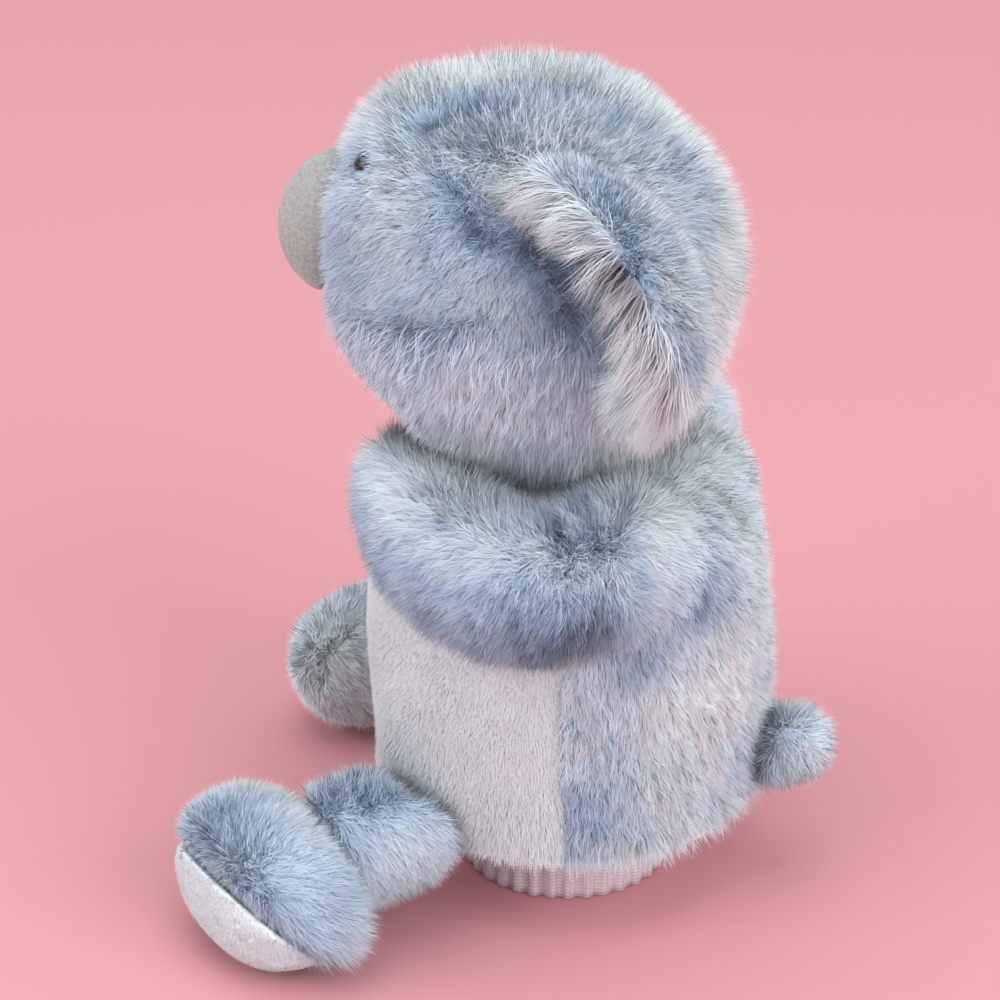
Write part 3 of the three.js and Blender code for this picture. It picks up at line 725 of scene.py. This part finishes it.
# Painted shade darkens the pile round each eye.
tint = tint * (1 - 0.95 * nape) * (1 - 0.75 * crown) + 0.4 * np.exp(-((eye_distance / 0.0065) ** 2))
CROWN_SEAM = [
    (25.4, -28.1, 49.3), (21.1, -15.3, 54.5), (18.1, -2.4, 55.5), (16.1, 12.1, 54.4), (18.9, 25.3, 50.2),
]
TEMPLE_FOLD = [(43.6, -23.9, 38.9), (49.2, -19.3, 34.5), (52.8, -15.3, 29.4), (56.3, -11.1, 23.4)]
CHEEK_FOLD = [(42.1, -47.4, -4.3), (48.5, -39.5, -5.3), (54.8, -28.9, -5.3), (59.9, -12.0, 0.3)]
EAR_HOLLOW = [(55.5, -0.5, 26.3), (58.5, 8.0, 14.0), (59.0, 13.0, 2.0)]
# Painted shade darkens the pile along these seams and folds and in the hollow before each ear.
HEAD_PARTINGS = []
for line, width, depth in (
    (CROWN_SEAM, 4.5, 0.7), (TEMPLE_FOLD, 4.0, 0.65), (CHEEK_FOLD, 5.0, 0.16), (EAR_HOLLOW, 6.0, 0.5),
):
    HEAD_PARTINGS += [(looking(copy), width, depth) for copy in mirrored(line)]
comb = 0.75 * DOWN + 0.2 * FORWARD + 0.4 * swirls(spots, 18, (1, 5, 9))
rim = step_up(-z, 34, 46) * step_up(y, -40, -10)
jaw = step_up(-z, 8, 36) * step_up(-y, 22, 42)
long_pile = 1 + 1.2 * rim - 0.6 * jaw + 0.4 * step_up(y, 28, 52)
long_pile += step_up(z, 38, 54) * (0.3 + 0.5 * step_up(y, -30, 0))
comb += rim[:, None] * DOWN - np.outer(0.2 * step_up(z, 25, 45), FORWARD)
long_pile = long_pile - 0.6 * np.exp(-((eye_distance / 0.008) ** 2)) - 0.2 * step_up(-nose_share, -1.4, -1.0)
bare_spots = step_up(nose_share, 0.88, 0.96) * step_up(eye_distance, 0.0036, 0.0052)
coat(head, tint, comb, long_pile, bare_spots, HEAD_PARTINGS)
settle(head, "head", "blue_plush", "head_cover", "head_filling")
full_coat("head", head, "head", "blue_plush", length=7.4, seed=11, thick=0.72, tips=4.0, tuft_lean=0.6)
low_face = step_up(-z, -4, 22) * step_up(-y, -34, -16)
low_face *= step_up(nose_share, 1.0, 1.2)
coat(head, 0.38 + blotches, DOWN * 1.2 + 0.3 * FORWARD, lengthen=1 - 0.5 * jaw, cover=low_face)
grow("head_pile_locks", head, "head", "blue_plush", per_mm2=1.0, length=10.0, seed=16, width=0.34,
     tuft_size=0.005, tuft_pull=0.85, tuft_lean=0.9)

# %% [markdown]
# ## Nose
# The nose is an oval pad of flocked cloth, stuffed and sewn on. It is wrapped and swollen like the limbs,
# with a finer voxel. Flock is a felt of very short fibres, so its material has a fine grain in its colour
# and a soft sheen, and a bump of the same grain.


# %% Nose
def toned_and_raised(tree, shader, pattern, stops, strength, distance):
    """Lets one pattern give a surface its colours and its bump."""
    colour = ramp(tree, stops)
    tree.links.new(pattern, colour.inputs["Fac"])
    tree.links.new(colour.outputs["Color"], shader.inputs["Base Color"])
    bump = tree.nodes.new("ShaderNodeBump")
    bump.inputs["Strength"].default_value = strength
    bump.inputs["Distance"].default_value = distance
    tree.links.new(pattern, bump.inputs["Height"])
    tree.links.new(bump.outputs["Normal"], shader.inputs["Normal"])


def flock_material(name, dark, light):
    """Flocked cloth: mottled grain in colour and height, with a soft sheen."""
    made, tree, shader = finish_of(name, 0.9, 0.15, sheen_weight=0.3)
    grain = grain_of(tree, 900.0, 3.0)
    toned_and_raised(tree, shader, grain, [(0.32, dark), (0.68, light)], 0.5, 0.0006)
    return made


nose = stuff(soft_form("nose_pad", ("nose_cover", "nose_filling"), voxel=2.0, draw_in=0.6), cap=0.8)
smooth = nose.modifiers.new("smooth", "SUBSURF")
smooth.levels = smooth.render_levels = 1
plain(nose)
nose_flock = flock_material("nose_flock", from_srgb(141, 141, 137), from_srgb(165, 165, 161))
settle(nose, "head", "nose_flock", "nose_cover", "nose_filling", material=nose_flock)

# %% [markdown]
# ## Eyes
# Each eye is a polished black bead on a stem, held by a washer inside the head. A turned profile makes
# the bead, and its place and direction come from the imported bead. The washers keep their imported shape.


# %% Eyes
def gloss_material(name, colour, roughness):
    """Moulded plastic with faint unevenness in its polish."""
    made, tree, shader = finish_of(name, roughness, base_color=(*colour, 1))
    spread = tree.nodes.new("ShaderNodeMapRange")
    spread.inputs["To Min"].default_value = roughness * 0.8
    spread.inputs["To Max"].default_value = roughness * 1.3
    tree.links.new(grain_of(tree, 400.0), spread.inputs["Value"])
    tree.links.new(spread.outputs["Result"], shader.inputs["Roughness"])
    return made


def turned(name, profile, sides, matrix):
    """A closed shape turned about Z from (radius, height) points, then placed by a matrix."""
    mesh = bpy.data.meshes.new(name)
    shape = bmesh.new()
    turns = [2 * math.pi * k / sides for k in range(sides)]
    loops = []
    for r, h in profile:
        if r < 1e-9:
            loops.append([shape.verts.new((0, 0, h))])
            continue
        loops.append([shape.verts.new((r * math.cos(a), r * math.sin(a), h)) for a in turns])
    for low, high in zip(loops[:-1], loops[1:]):
        for k in range(sides):
            n = (k + 1) % sides
            corners = [low[k % len(low)], low[n % len(low)], high[n % len(high)], high[k % len(high)]]
            face = list(dict.fromkeys(corners))
            if len(face) > 2:
                shape.faces.new(face)
    bmesh.ops.recalc_face_normals(shape, faces=shape.faces)
    shape.transform(matrix)
    shape.to_mesh(mesh)
    shape.free()
    mesh.shade_smooth()
    return new_object(name, mesh)


EYE_RADIUS, EYE_BULGE, STEM_RADIUS, STEM_LENGTH = 4.2, 3.6, 1.5, 5.0
EYE_SEARCH, EYE_SINK = 6.0, 0.8
bead_profile = [(0, -STEM_LENGTH), (STEM_RADIUS, -STEM_LENGTH), (STEM_RADIUS, -0.4), (EYE_RADIUS - 0.4, -0.3)]
for k in range(9):
    angle = math.pi / 2 * k / 8
    bead_profile.append((EYE_RADIUS * math.cos(angle), EYE_BULGE * math.sin(angle)))
bead_profile = [(r * MM, h * MM) for r, h in bead_profile]
eye_black = gloss_material("eye_bead", from_srgb(22, 22, 26), 0.12)
washer_plastic = gloss_material("washer_plastic", from_srgb(224, 224, 220), 0.5)
for side, _ in SIDES:
    low, high = (Vector(c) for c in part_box(f"{side}_eye"))
    middle = (low + high) / 2
    outward = (middle - Vector(HEAD_MIDDLE)).normalized()
    arms = points_of(head) - np.array(middle)
    along = arms @ np.array(outward)
    off_axis = np.linalg.norm(arms - along[:, None] * np.array(outward), axis=1)
    place = middle + outward * (float(along[off_axis < EYE_SEARCH * MM].max()) - EYE_SINK * MM)
    matrix = Matrix.Translation(place) @ outward.to_track_quat("Z", "Y").to_matrix().to_4x4()
    bead = turned(f"{side}_eye_bead", bead_profile, 32, matrix)
    settle(bead, "head", "eye_bead", f"{side}_eye", material=eye_black)
    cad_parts[f"{side}_eye_washer"].data.materials.clear()
    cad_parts[f"{side}_eye_washer"].data.materials.append(washer_plastic)

# %% [markdown]
# ## Ears
# Each ear is a cupped pad, open to the front: blue-grey plush behind, long white hair inside. One wrapped
# skin carries both piles. The skin's normals say which side is which, because inside the cup they face
# the way that the cup opens. A fold runs round the back, darkened by painted shade, and a gap in the hair
# shows the cup's depth, painted dark as its shade.


# %% Ears
EAR_OPENING = np.array((0.385, -0.822, -0.42))
for side, sign in SIDES:
    body = f"{side}_ear"
    solids = (f"{body}_back", f"{body}_front")
    ear = stuff(soft_form(f"{body}_plush", solids, voxel=2.2, draw_in=1.2), cap=1.0)
    spots, normals = points_of(ear), normals_of(ear)
    opening = EAR_OPENING * (sign, 1, 1) @ TO_HEAD
    inside = step_up(normals @ opening, -0.05, 0.25)
    middle = spots.mean(0)
    outward = spots - middle
    blotches = 0.25 * clouds(spots, 16, 2.0)
    along = outward - np.outer(outward @ opening, opening)
    from_middle = np.linalg.norm(along, axis=1) / MM
    # Painted shade darkens the pile along the fold round the back.
    fold = np.exp(-(((from_middle - 27) / 3) ** 2))
    tint = 0.32 + blotches + 0.16 * step_up(from_middle, 26, 30) + 0.36 * fold
    coat(ear, tint, 0.5 * outward / 0.03 + 0.5 * DOWN, lengthen=1 - 0.4 * fold, cover=1 - inside)
    settle(ear, body, "blue_plush", *solids)
    full_coat(f"{body}_back", ear, body, "blue_plush", length=7.2, seed=21)
    hang = step_up(middle[2] - spots[:, 2], -0.018, -0.004)
    comb = np.outer(0.9 - 0.3 * hang, FORWARD) + np.outer(0.5 + 0.7 * hang, DOWN)
    # Painted shade: in the gap the hair and the backing under it are dyed dark, as the shade in the cup.
    gap_and_shade = np.exp(-(((spots[:, 2] - middle[2]) / MM - 10) / 4) ** 2)
    coat(ear, 0.1 + blotches + 0.85 * gap_and_shade, comb, lengthen=0.75 + 0.25 * hang, cover=inside * (1 - 0.9 * gap_and_shade))
    grow(f"{body}_pile_front", ear, body, "ear_plush", per_mm2=3.8, length=20.0, seed=25, width=0.26,
         tuft_size=0.009, tuft_pull=1.0, tuft_lean=0.7)

# %% [markdown]
# ## Glove body
# The body is a sleeve for the hand: a belly panel of short white nap and a back panel of long mottled
# pile, sewn together at the sides. A sleeve is a turned form, so it is drawn row by row from its outline,
# with soft waves where the cloth is slack and a pinch along each side seam. A Solidify modifier gives the
# cloth its thickness.

# %% Glove body outline
HEM, WAIST, NECK = 30.0, 72.0, 149.0
HEM_RADIUS, WAIST_RADIUS, NECK_RADIUS = 61.0, 64.0, 24.0
NECK_BACK, SWELL, SEAM_BACK = 5.0, 2.5, 10.0


def outline(height):
    """Radius of the sleeve and how far it is set back, in mm, at a height in mm."""
    if height <= WAIST:
        low = (WAIST - height) / (WAIST - HEM)
        return WAIST_RADIUS - (WAIST_RADIUS - HEM_RADIUS) * low**2, 0.0
    rise = min((height - WAIST) / (NECK - WAIST), 1.0)
    return NECK_RADIUS + (WAIST_RADIUS - NECK_RADIUS) * (1 - rise**SWELL) ** (1 / SWELL), NECK_BACK * rise**2


def sleeve_rows(count, draw_in, low=HEM):
    """Evenly spaced (radius, height, set back) rows along the outline, drawn in square to it, in mm."""
    heights = low + (NECK - low) * np.sin(np.linspace(0, math.pi / 2, 400))
    fine = np.array([(*outline(h), h) for h in heights])
    run = np.gradient(fine[:, (0, 2)], axis=0)
    run /= np.linalg.norm(run, axis=1, keepdims=True)
    length = np.concatenate([[0], np.cumsum(np.linalg.norm(np.diff(fine[:, (0, 2)], axis=0), axis=1))])
    at = np.linspace(0, length[-1], count)
    radius = np.interp(at, length, fine[:, 0] - draw_in * run[:, 1])
    height = np.interp(at, length, fine[:, 2] + draw_in * run[:, 0])
    return np.stack([radius, height, np.interp(at, length, fine[:, 1])], 1)


def sleeve_sheet(name, rows, first, last, columns, wave, closed=False):
    """A sheet of the sleeve between two angles for each row. wave moves it outward, in mm, by the angle, the
    height and the share of the way across."""
    wide = columns if closed else columns + 1
    points = []
    for radius, height, back in rows:
        for k in range(wide):
            angle = first(radius, back) + (last(radius, back) - first(radius, back)) * k / columns
            out = radius + wave(angle, height, k / columns)
            points.append((out * math.cos(angle), BODY_Y + back + out * math.sin(angle), height))
    return woven(name, points, wide, closed)


def thicken(form, thickness):
    """Gives a sheet its thickness on the inner side, in mm."""
    wall = form.modifiers.new("wall", "SOLIDIFY")
    wall.thickness = thickness * MM
    wall.offset = -1.0
    plain(form)
    form.data.shade_smooth()
    return form


print("sleeve rows:", [tuple(round(v, 1) for v in row) for row in sleeve_rows(4, 3.0)])

# %% [markdown]
# ## Belly panel
# The front of the sleeve is smooth white plush with a nap of under 3 mm. The pile tree grows it as single
# short blades, because a bump in the material would leave the edge of the panel hard. The nap is a little
# longer towards the hem, where the cloth is turned under.


# %% Belly panel
def belly_wave(angle, height, share):
    low = math.exp(-(((height - HEM) / 26) ** 2))
    wave = 1.1 * math.sin(3.1 * angle + 0.045 * height) + 0.8 * math.sin(5.3 * angle - 0.07 * height + 1.0)
    edge = min(share, 1 - share) * math.pi * WAIST_RADIUS
    return wave * (0.5 + 0.8 * low) - 2.2 * math.exp(-((edge / 4) ** 2))


def seam_angle(radius, back):
    return math.asin((SEAM_BACK - back) / radius)


belly = sleeve_sheet(
    "belly_plush", sleeve_rows(46, 1.6, low=HEM + 2), lambda r, b: math.pi - seam_angle(r, b),
    lambda r, b: 2 * math.pi + seam_angle(r, b), 84, belly_wave,
)
spots = points_of(belly)
height = spots[:, 2] / MM
hem_share = step_up(-height, -62, -30)
comb = DOWN * 1.2 + 0.4 * swirls(spots, 14, (2, 4, 6))
coat(belly, 0.35 + 0.3 * clouds(spots, 20, 4.0), comb, lengthen=1 + 1.3 * hem_share)
grow("belly_nap", belly, "torso", "white_plush", per_mm2=5.0, length=2.6, seed=31, width=0.34,
     blade=short_blade, tuft_size=0.003, tuft_pull=0.2, tuft_lean=0.2)
thicken(belly, 2.0)
settle(belly, "torso", "white_plush", "belly_panel")

# %% [markdown]
# ## Back panel
# The back of the sleeve is shaggy plush, dyed in cloudy patches of white and blue-grey. Two sizes of cloud
# noise give the mottling, and a few patches of fixed place and size give the largest marks. The panel
# swells a little at each shoulder, where it takes the end of the arm.


# %% Back panel
SHOULDER_ANGLE, SHOULDER_HEIGHT, SHOULDER_SWELL = 0.7, 126.0, 8.0


def back_wave(angle, height, share):
    edge = min(share, 1 - share) * math.pi * WAIST_RADIUS
    wave = 1.2 * math.sin(2.7 * angle + 0.05 * height) + 0.7 * math.sin(6.1 * angle - 0.06 * height)
    from_shoulder = (min(angle, math.pi - angle) - SHOULDER_ANGLE) / 0.45, (height - SHOULDER_HEIGHT) / 20
    swell = SHOULDER_SWELL * math.exp(-(from_shoulder[0] ** 2 + from_shoulder[1] ** 2))
    return wave + swell - 1.6 * math.exp(-((edge / 4) ** 2))


back = sleeve_sheet(
    "back_plush", sleeve_rows(46, 4.0, low=HEM + 3), lambda r, b: seam_angle(r, b) + 0.006,
    lambda r, b: math.pi - seam_angle(r, b) - 0.006, 72, back_wave,
)
spots = points_of(back)
x, y, z = spots.T
tint = 0.34 + 0.2 * clouds(spots, 22, 8.0) + 0.16 * clouds(spots, 9, 2.5)
# The first two patches pale the tops of the shoulders: partly the plush's own colour, partly painted light
# where the head shades them.
PATCHES = [
    (46, 146, 22, -0.16), (68, 146, 18, -0.16), (41, 131, 10, -0.25), (48, 116, 13, 0.45),
    (30, 102, 12, 0.45), (18, 50, 13, 0.4), (58, 85, 24, -0.25),
]
for turn, height, size, change in PATCHES:
    radius, set_back = outline(height)
    sideways = radius * math.cos(math.radians(turn))
    centre = (sideways, BODY_Y + set_back + radius * math.sin(math.radians(turn)), height)
    away = np.stack([np.abs(x), y, z], 1) / MM - centre
    tint += change * np.exp(-((np.linalg.norm(away, axis=1) / size) ** 2))
comb = DOWN * 0.8 + 0.4 * swirls(spots, 18, (3, 6, 9))
coat(back, tint, comb, lengthen=1 + 0.5 * step_up(-z / MM, -46, -32))
full_coat("back", back, "torso", "mottled_plush", length=7.6, seed=41, thick=1.4, tips=2.2,
          tuft_size=0.0048, tuft_pull=0.6, tuft_lean=0.65, tint_scatter=0.14)
thicken(back, 1.4)
settle(back, "torso", "mottled_plush", "back_panel")

# %% [markdown]
# ## Lining, cuff and hem
# Inside the sleeve a thin woven lining takes the hand. It ends in a gathered cuff that grips the wrist,
# and a finger stall carries the head. They are turned forms too, with gathers, which are waves round the
# ring that grow towards the elastic.


# %% Lining, cuff and hem
def woven_material(name, dark, light):
    """Plain weave: two crossed fine waves, in colour and height."""
    made, tree, shader = finish_of(name, 0.85, 0.2)
    place = tree.nodes.new("ShaderNodeTexCoord")
    threads = []
    for direction in ("X", "Z"):
        wave = tree.nodes.new("ShaderNodeTexWave")
        wave.bands_direction = direction
        wave.inputs["Scale"].default_value = 260.0
        wave.inputs["Distortion"].default_value = 1.5
        tree.links.new(place.outputs["Object"], wave.inputs["Vector"])
        threads.append(wave.outputs["Fac"])
    both = tree.nodes.new("ShaderNodeMath")
    both.operation = "MULTIPLY"
    tree.links.new(threads[0], both.inputs[0])
    tree.links.new(threads[1], both.inputs[1])
    toned_and_raised(tree, shader, both.outputs[0], [(0.0, dark), (0.6, light)], 0.3, 0.0003)
    return made


lining_weave = woven_material("lining_weave", from_srgb(196, 178, 184), from_srgb(222, 208, 212))


def gathered(name, profile, body, node, centre_y, sides, gathers, depth, wall):
    """A turned cloth tube with gathers. profile gives radius, height and the share of the gathers, in mm."""
    points = []
    for radius, height, share in profile:
        for k in range(sides):
            angle = 2 * math.pi * k / sides
            out = radius + math.sin(gathers * angle + 0.8 * math.sin(3 * angle)) * depth * share
            points.append((out * math.cos(angle), centre_y + out * math.sin(angle), height))
    tube = thicken(woven(name, points, sides, closed=True), wall)
    settle(tube, body, "lining", node, material=lining_weave)


CUFF_RADIUS, CUFF_FLARE, CUFF_TOP = 33.2, 22, 17
NECK_TUBE, STALL_RADIUS, STALL_TOP = 13.2, 11.2, 198
cuff_profile = [(CUFF_RADIUS, h, 1.0) for h in (0.2, 3, 6, 9, 12, 15, CUFF_TOP)]
for s in np.linspace(0.08, 1, 12):
    cuff_profile.append((CUFF_RADIUS + CUFF_FLARE * s, CUFF_TOP + 18.5 * s**1.1, 1.0 - 0.8 * s))
gathered("wrist_cuff_cloth", cuff_profile, "torso", "wrist_cuff", BODY_Y,
         sides=192, gathers=34, depth=0.7, wall=1.2)
lining_rows = sleeve_rows(40, 5.9)
lining_rows = lining_rows[lining_rows[:, 1] > 37]
lining = sleeve_sheet(
    "lining_cloth", lining_rows, lambda r, b: 0.0, lambda r, b: 2 * math.pi, 120,
    lambda a, h, s: 0.5 * math.sin(9 * a + 0.04 * h) - 0.5, closed=True,
)
thicken(lining, 0.8)
settle(lining, "torso", "lining", "glove_lining", material=lining_weave)
neck_profile = [(NECK_TUBE, h, 1.0) for h in np.linspace(141, 153.4, 6)]
gathered("neck_sleeve_cloth", neck_profile, "neck", "neck_sleeve", BODY_Y + NECK_BACK,
         sides=72, gathers=14, depth=0.2, wall=1.4)
stall_profile = [(STALL_RADIUS, h, 0.6) for h in np.linspace(157.4, STALL_TOP, 9)]
for a in np.linspace(0.2, 1.45, 6):
    stall_profile.append((STALL_RADIUS * math.cos(a), STALL_TOP + 4.8 * math.sin(a), 0.2))
gathered("finger_stall_cloth", stall_profile, "head", "finger_stall", BODY_Y + NECK_BACK,
         sides=72, gathers=12, depth=0.2, wall=1.2)

HEM_SIDES, ROLL_SIDES = 144, 10
ROLL_RADIUS, ROLL_DROP, ROLL_WIDE, ROLL_HIGH = 56.6, 1.4, 2.3, 1.3
roll = []
for k in range(HEM_SIDES):
    angle = 2 * math.pi * k / HEM_SIDES
    pucker = 0.25 * math.sin(40 * angle)
    for m in range(ROLL_SIDES):
        bend = -2 * math.pi * m / ROLL_SIDES
        out = ROLL_RADIUS + (ROLL_WIDE + pucker) * math.cos(bend)
        rise = HEM - ROLL_DROP + (ROLL_HIGH + 0.5 * pucker) * math.sin(bend)
        roll.append((out * math.cos(angle), BODY_Y + out * math.sin(angle), rise))
hem = woven("hem_roll", roll, ROLL_SIDES, closed=True, ring=True)
paint(hem, tint=np.full(len(roll), 0.4))
settle(hem, "torso", "white_plush", "hem_binding")

# %% [markdown]
# ## Arms
# The arms are stuffed sausages that bend round the chest and end in rounded paws under the chin. The
# pile is combed down and towards the paw, and at the shoulder back over the seam. Where the cloth folds
# at the elbow, the pile parts, and painted shade darkens the folds. The top of each arm is painted paler
# and the underside darker, as painted light and shade.

# %% Arms
ELBOW_FOLDS = [
    [(58.0, 2.0, 150.0), (65.1, 8.2, 148.2), (71.0, 12.2, 141.0)],
    [(52.0, 14.5, 149.0), (63.3, 18.8, 148.7), (71.3, 23.2, 144.5)],
    [(64.8, 30.3, 144.1), (69.5, 33.0, 138.6), (70.8, 34.5, 131.3)],
]


def on_side(line, side):
    """A line that is set out on the left from the body's axis, on either side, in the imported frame."""
    return np.array(mirrored(line)[side == "right"]) + (0, BODY_Y, 0)


for side, _ in SIDES:
    body = f"{side}_arm"
    solids = (f"{body}_cover", f"{body}_filling")
    arm = stuff(soft_form(f"{body}_plush", solids, draw_in=3.2), cap=2.0)
    spots = points_of(arm)
    shoulder = step_up(spots[:, 1] / MM - BODY_Y, 22, 34)
    upward = normals_of(arm)[:, 2]
    top, under = step_up(upward, 0.4, 0.8), step_up(-upward, -0.55, 0.25)
    paw = step_up(BODY_Y - spots[:, 1] / MM, 10, 35)
    # Painted light and shade: the top is painted paler and the underside darker.
    tint = 0.64 + 0.3 * under - 0.24 * top - 0.06 * paw
    tint = tint + 0.2 * clouds(spots, 20, 5.5) + 0.12 * clouds(spots, 8, 1.5)
    comb = DOWN * 0.7 + 0.5 * FORWARD + 0.3 * swirls(spots, 15, (4, 8, 12))
    comb -= np.outer(1.1 * shoulder, FORWARD)
    # Painted shade darkens the pile along the elbow folds.
    coat(arm, tint * (1 - 0.45 * shoulder), comb, lengthen=1 + 0.4 * top + 0.15 * shoulder,
         partings=[(on_side(fold, side), 3.2, 0.8) for fold in ELBOW_FOLDS])
    settle(arm, body, "blue_plush", *solids)
    full_coat(body, arm, body, "blue_plush", length=7.4, seed=51, tuft_lean=0.75, tint_scatter=0.13)

# %% [markdown]
# ## Legs and feet
# A short stuffed leg runs from the hem to a wide foot. The foot has a plush upper and a smooth white
# sole, a padded disc with its own short nap. The seam of the upper shows as a curved parting, darkened by
# painted shade, and the inner side of each foot is painted paler, as painted light against the body's shade.

# %% Legs and feet
TOE_SEAM = [
    (85.4, -96.5, 41.3), (82.0, -94.2, 44.2), (79.5, -88.8, 47.3), (75.5, -82.6, 48.2), (70.7, -76.4, 47.3),
]
LEG_TUFT = [(68.4, -46.5, 50.0), (65.3, -44.1, 51.3), (62.8, -41.9, 52.3)]
FOOT_MIDDLE = (77.45, -80.21, 23.9)
HEEL_TUFT = (100.0, -46.0, 18.0)
FOOT_COMB = np.array((-0.3, 0.7, -0.5))
SOLE_WAY, SOLE_OUT = np.array((0.4997, -0.5175, -0.6947)), 7.5
for side, sign in SIDES:
    body = f"{side}_leg"
    solids = (f"{body}_cover", f"{body}_filling")
    leg = stuff(soft_form(f"{body}_plush", solids, draw_in=2.4), cap=2.0)
    spots = points_of(leg)
    tint = 0.56 + 0.25 * clouds(spots, 18, 6.5) - 0.25 * step_up(-spots[:, 2], -0.022, -0.01)
    comb = DOWN * 0.7 - FORWARD * 0.6 + 0.2 * swirls(spots, 15, (5, 7, 11))
    # Painted shade darkens the pile a little along the leg's tuft.
    coat(leg, tint, comb, partings=[(on_side(LEG_TUFT, side), 5.0, 0.3)])
    settle(leg, body, "blue_plush", *solids)
    full_coat(body, leg, body, "blue_plush", length=7.0, seed=61)

    solids = (f"{side}_foot_upper", f"{side}_foot_filling")
    foot = stuff(soft_form(f"{side}_foot_plush", solids, voxel=2.6, draw_in=2.2), cap=1.6)
    spots, normals = points_of(foot), normals_of(foot)
    sole_way = SOLE_WAY * (sign, 1, 1)
    foot_middle = on_side([FOOT_MIDDLE], side)[0] * MM
    sole_edge = (foot_middle + SOLE_OUT * MM * sole_way) @ sole_way
    # Painted light: the inner side of each foot is painted paler, against the shade of the body.
    inner = step_up(-sign * normals[:, 0], -0.2, 0.5)
    tint = 0.6 + 0.2 * clouds(spots, 16, 9.5) - 0.45 * inner
    behind = sole_edge - spots @ sole_way
    heel = on_side([HEEL_TUFT], side)[0] * MM
    tuft = np.exp(-((np.linalg.norm(spots - heel, axis=1) / 0.016) ** 2))
    comb = FOOT_COMB + 0.2 * swirls(spots, 14, (1, 6, 10))
    lengthen = 0.6 + 0.4 * step_up(behind, 0.0, 0.006) + 1.6 * tuft - 0.2 * step_up(-normals[:, 1], 0.2, 0.8)
    # Painted shade darkens the pile along the toe seam.
    coat(foot, tint, comb, lengthen, step_up(behind, 0.0, 0.002), [(on_side(TOE_SEAM, side), 2.2, 0.65)])
    settle(foot, body, "blue_plush", *solids)
    full_coat(f"{side}_foot", foot, body, "blue_plush", length=6.6, seed=71)

    sole = stuff(soft_form(f"{side}_sole_pad", (f"{side}_foot_sole",), voxel=1.8, draw_in=0.6), cap=1.0)
    spots = points_of(sole)
    coat(sole, 0.2 + 0.3 * clouds(spots, 15, 3.5), DOWN * 0.8, lengthen=0.9,
         cover=step_up(normals_of(sole) @ sole_way, -0.1, 0.1))
    settle(sole, body, "white_plush", f"{side}_foot_sole")
    grow(f"{side}_sole_nap", sole, body, "white_plush", per_mm2=5.0, length=1.3, seed=81, width=0.34,
         blade=short_blade, tuft_size=0.004, tuft_pull=0.1, tuft_lean=0.1)

# %% [markdown]
# ## Tail
# A small stuffed stub at the back, in the same plush as the limbs.

# %% Tail
tail = stuff(soft_form("tail_plush", ("tail_cover", "tail_filling"), voxel=2.4, draw_in=1.4), cap=1.2)
spots = points_of(tail)
coat(tail, 0.42 + 0.3 * clouds(spots, 14, 2.2), DOWN * 0.5 - FORWARD * 0.4)
settle(tail, "tail", "blue_plush", "tail_cover", "tail_filling")
full_coat("tail", tail, "tail", "blue_plush", length=7.0, seed=91)

# %% [markdown]
# ## Closing
# The two template blades go, because they aren't pieces of the toy, and the counts of strands and
# triangles are printed.

# %% Closing
bpy.data.objects.remove(bent_blade)
bpy.data.objects.remove(short_blade)
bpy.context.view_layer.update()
total = sum(triangles_of(o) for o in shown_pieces() if o.type == "MESH")
print(f"{strand_count} strands, {total} triangles in all")
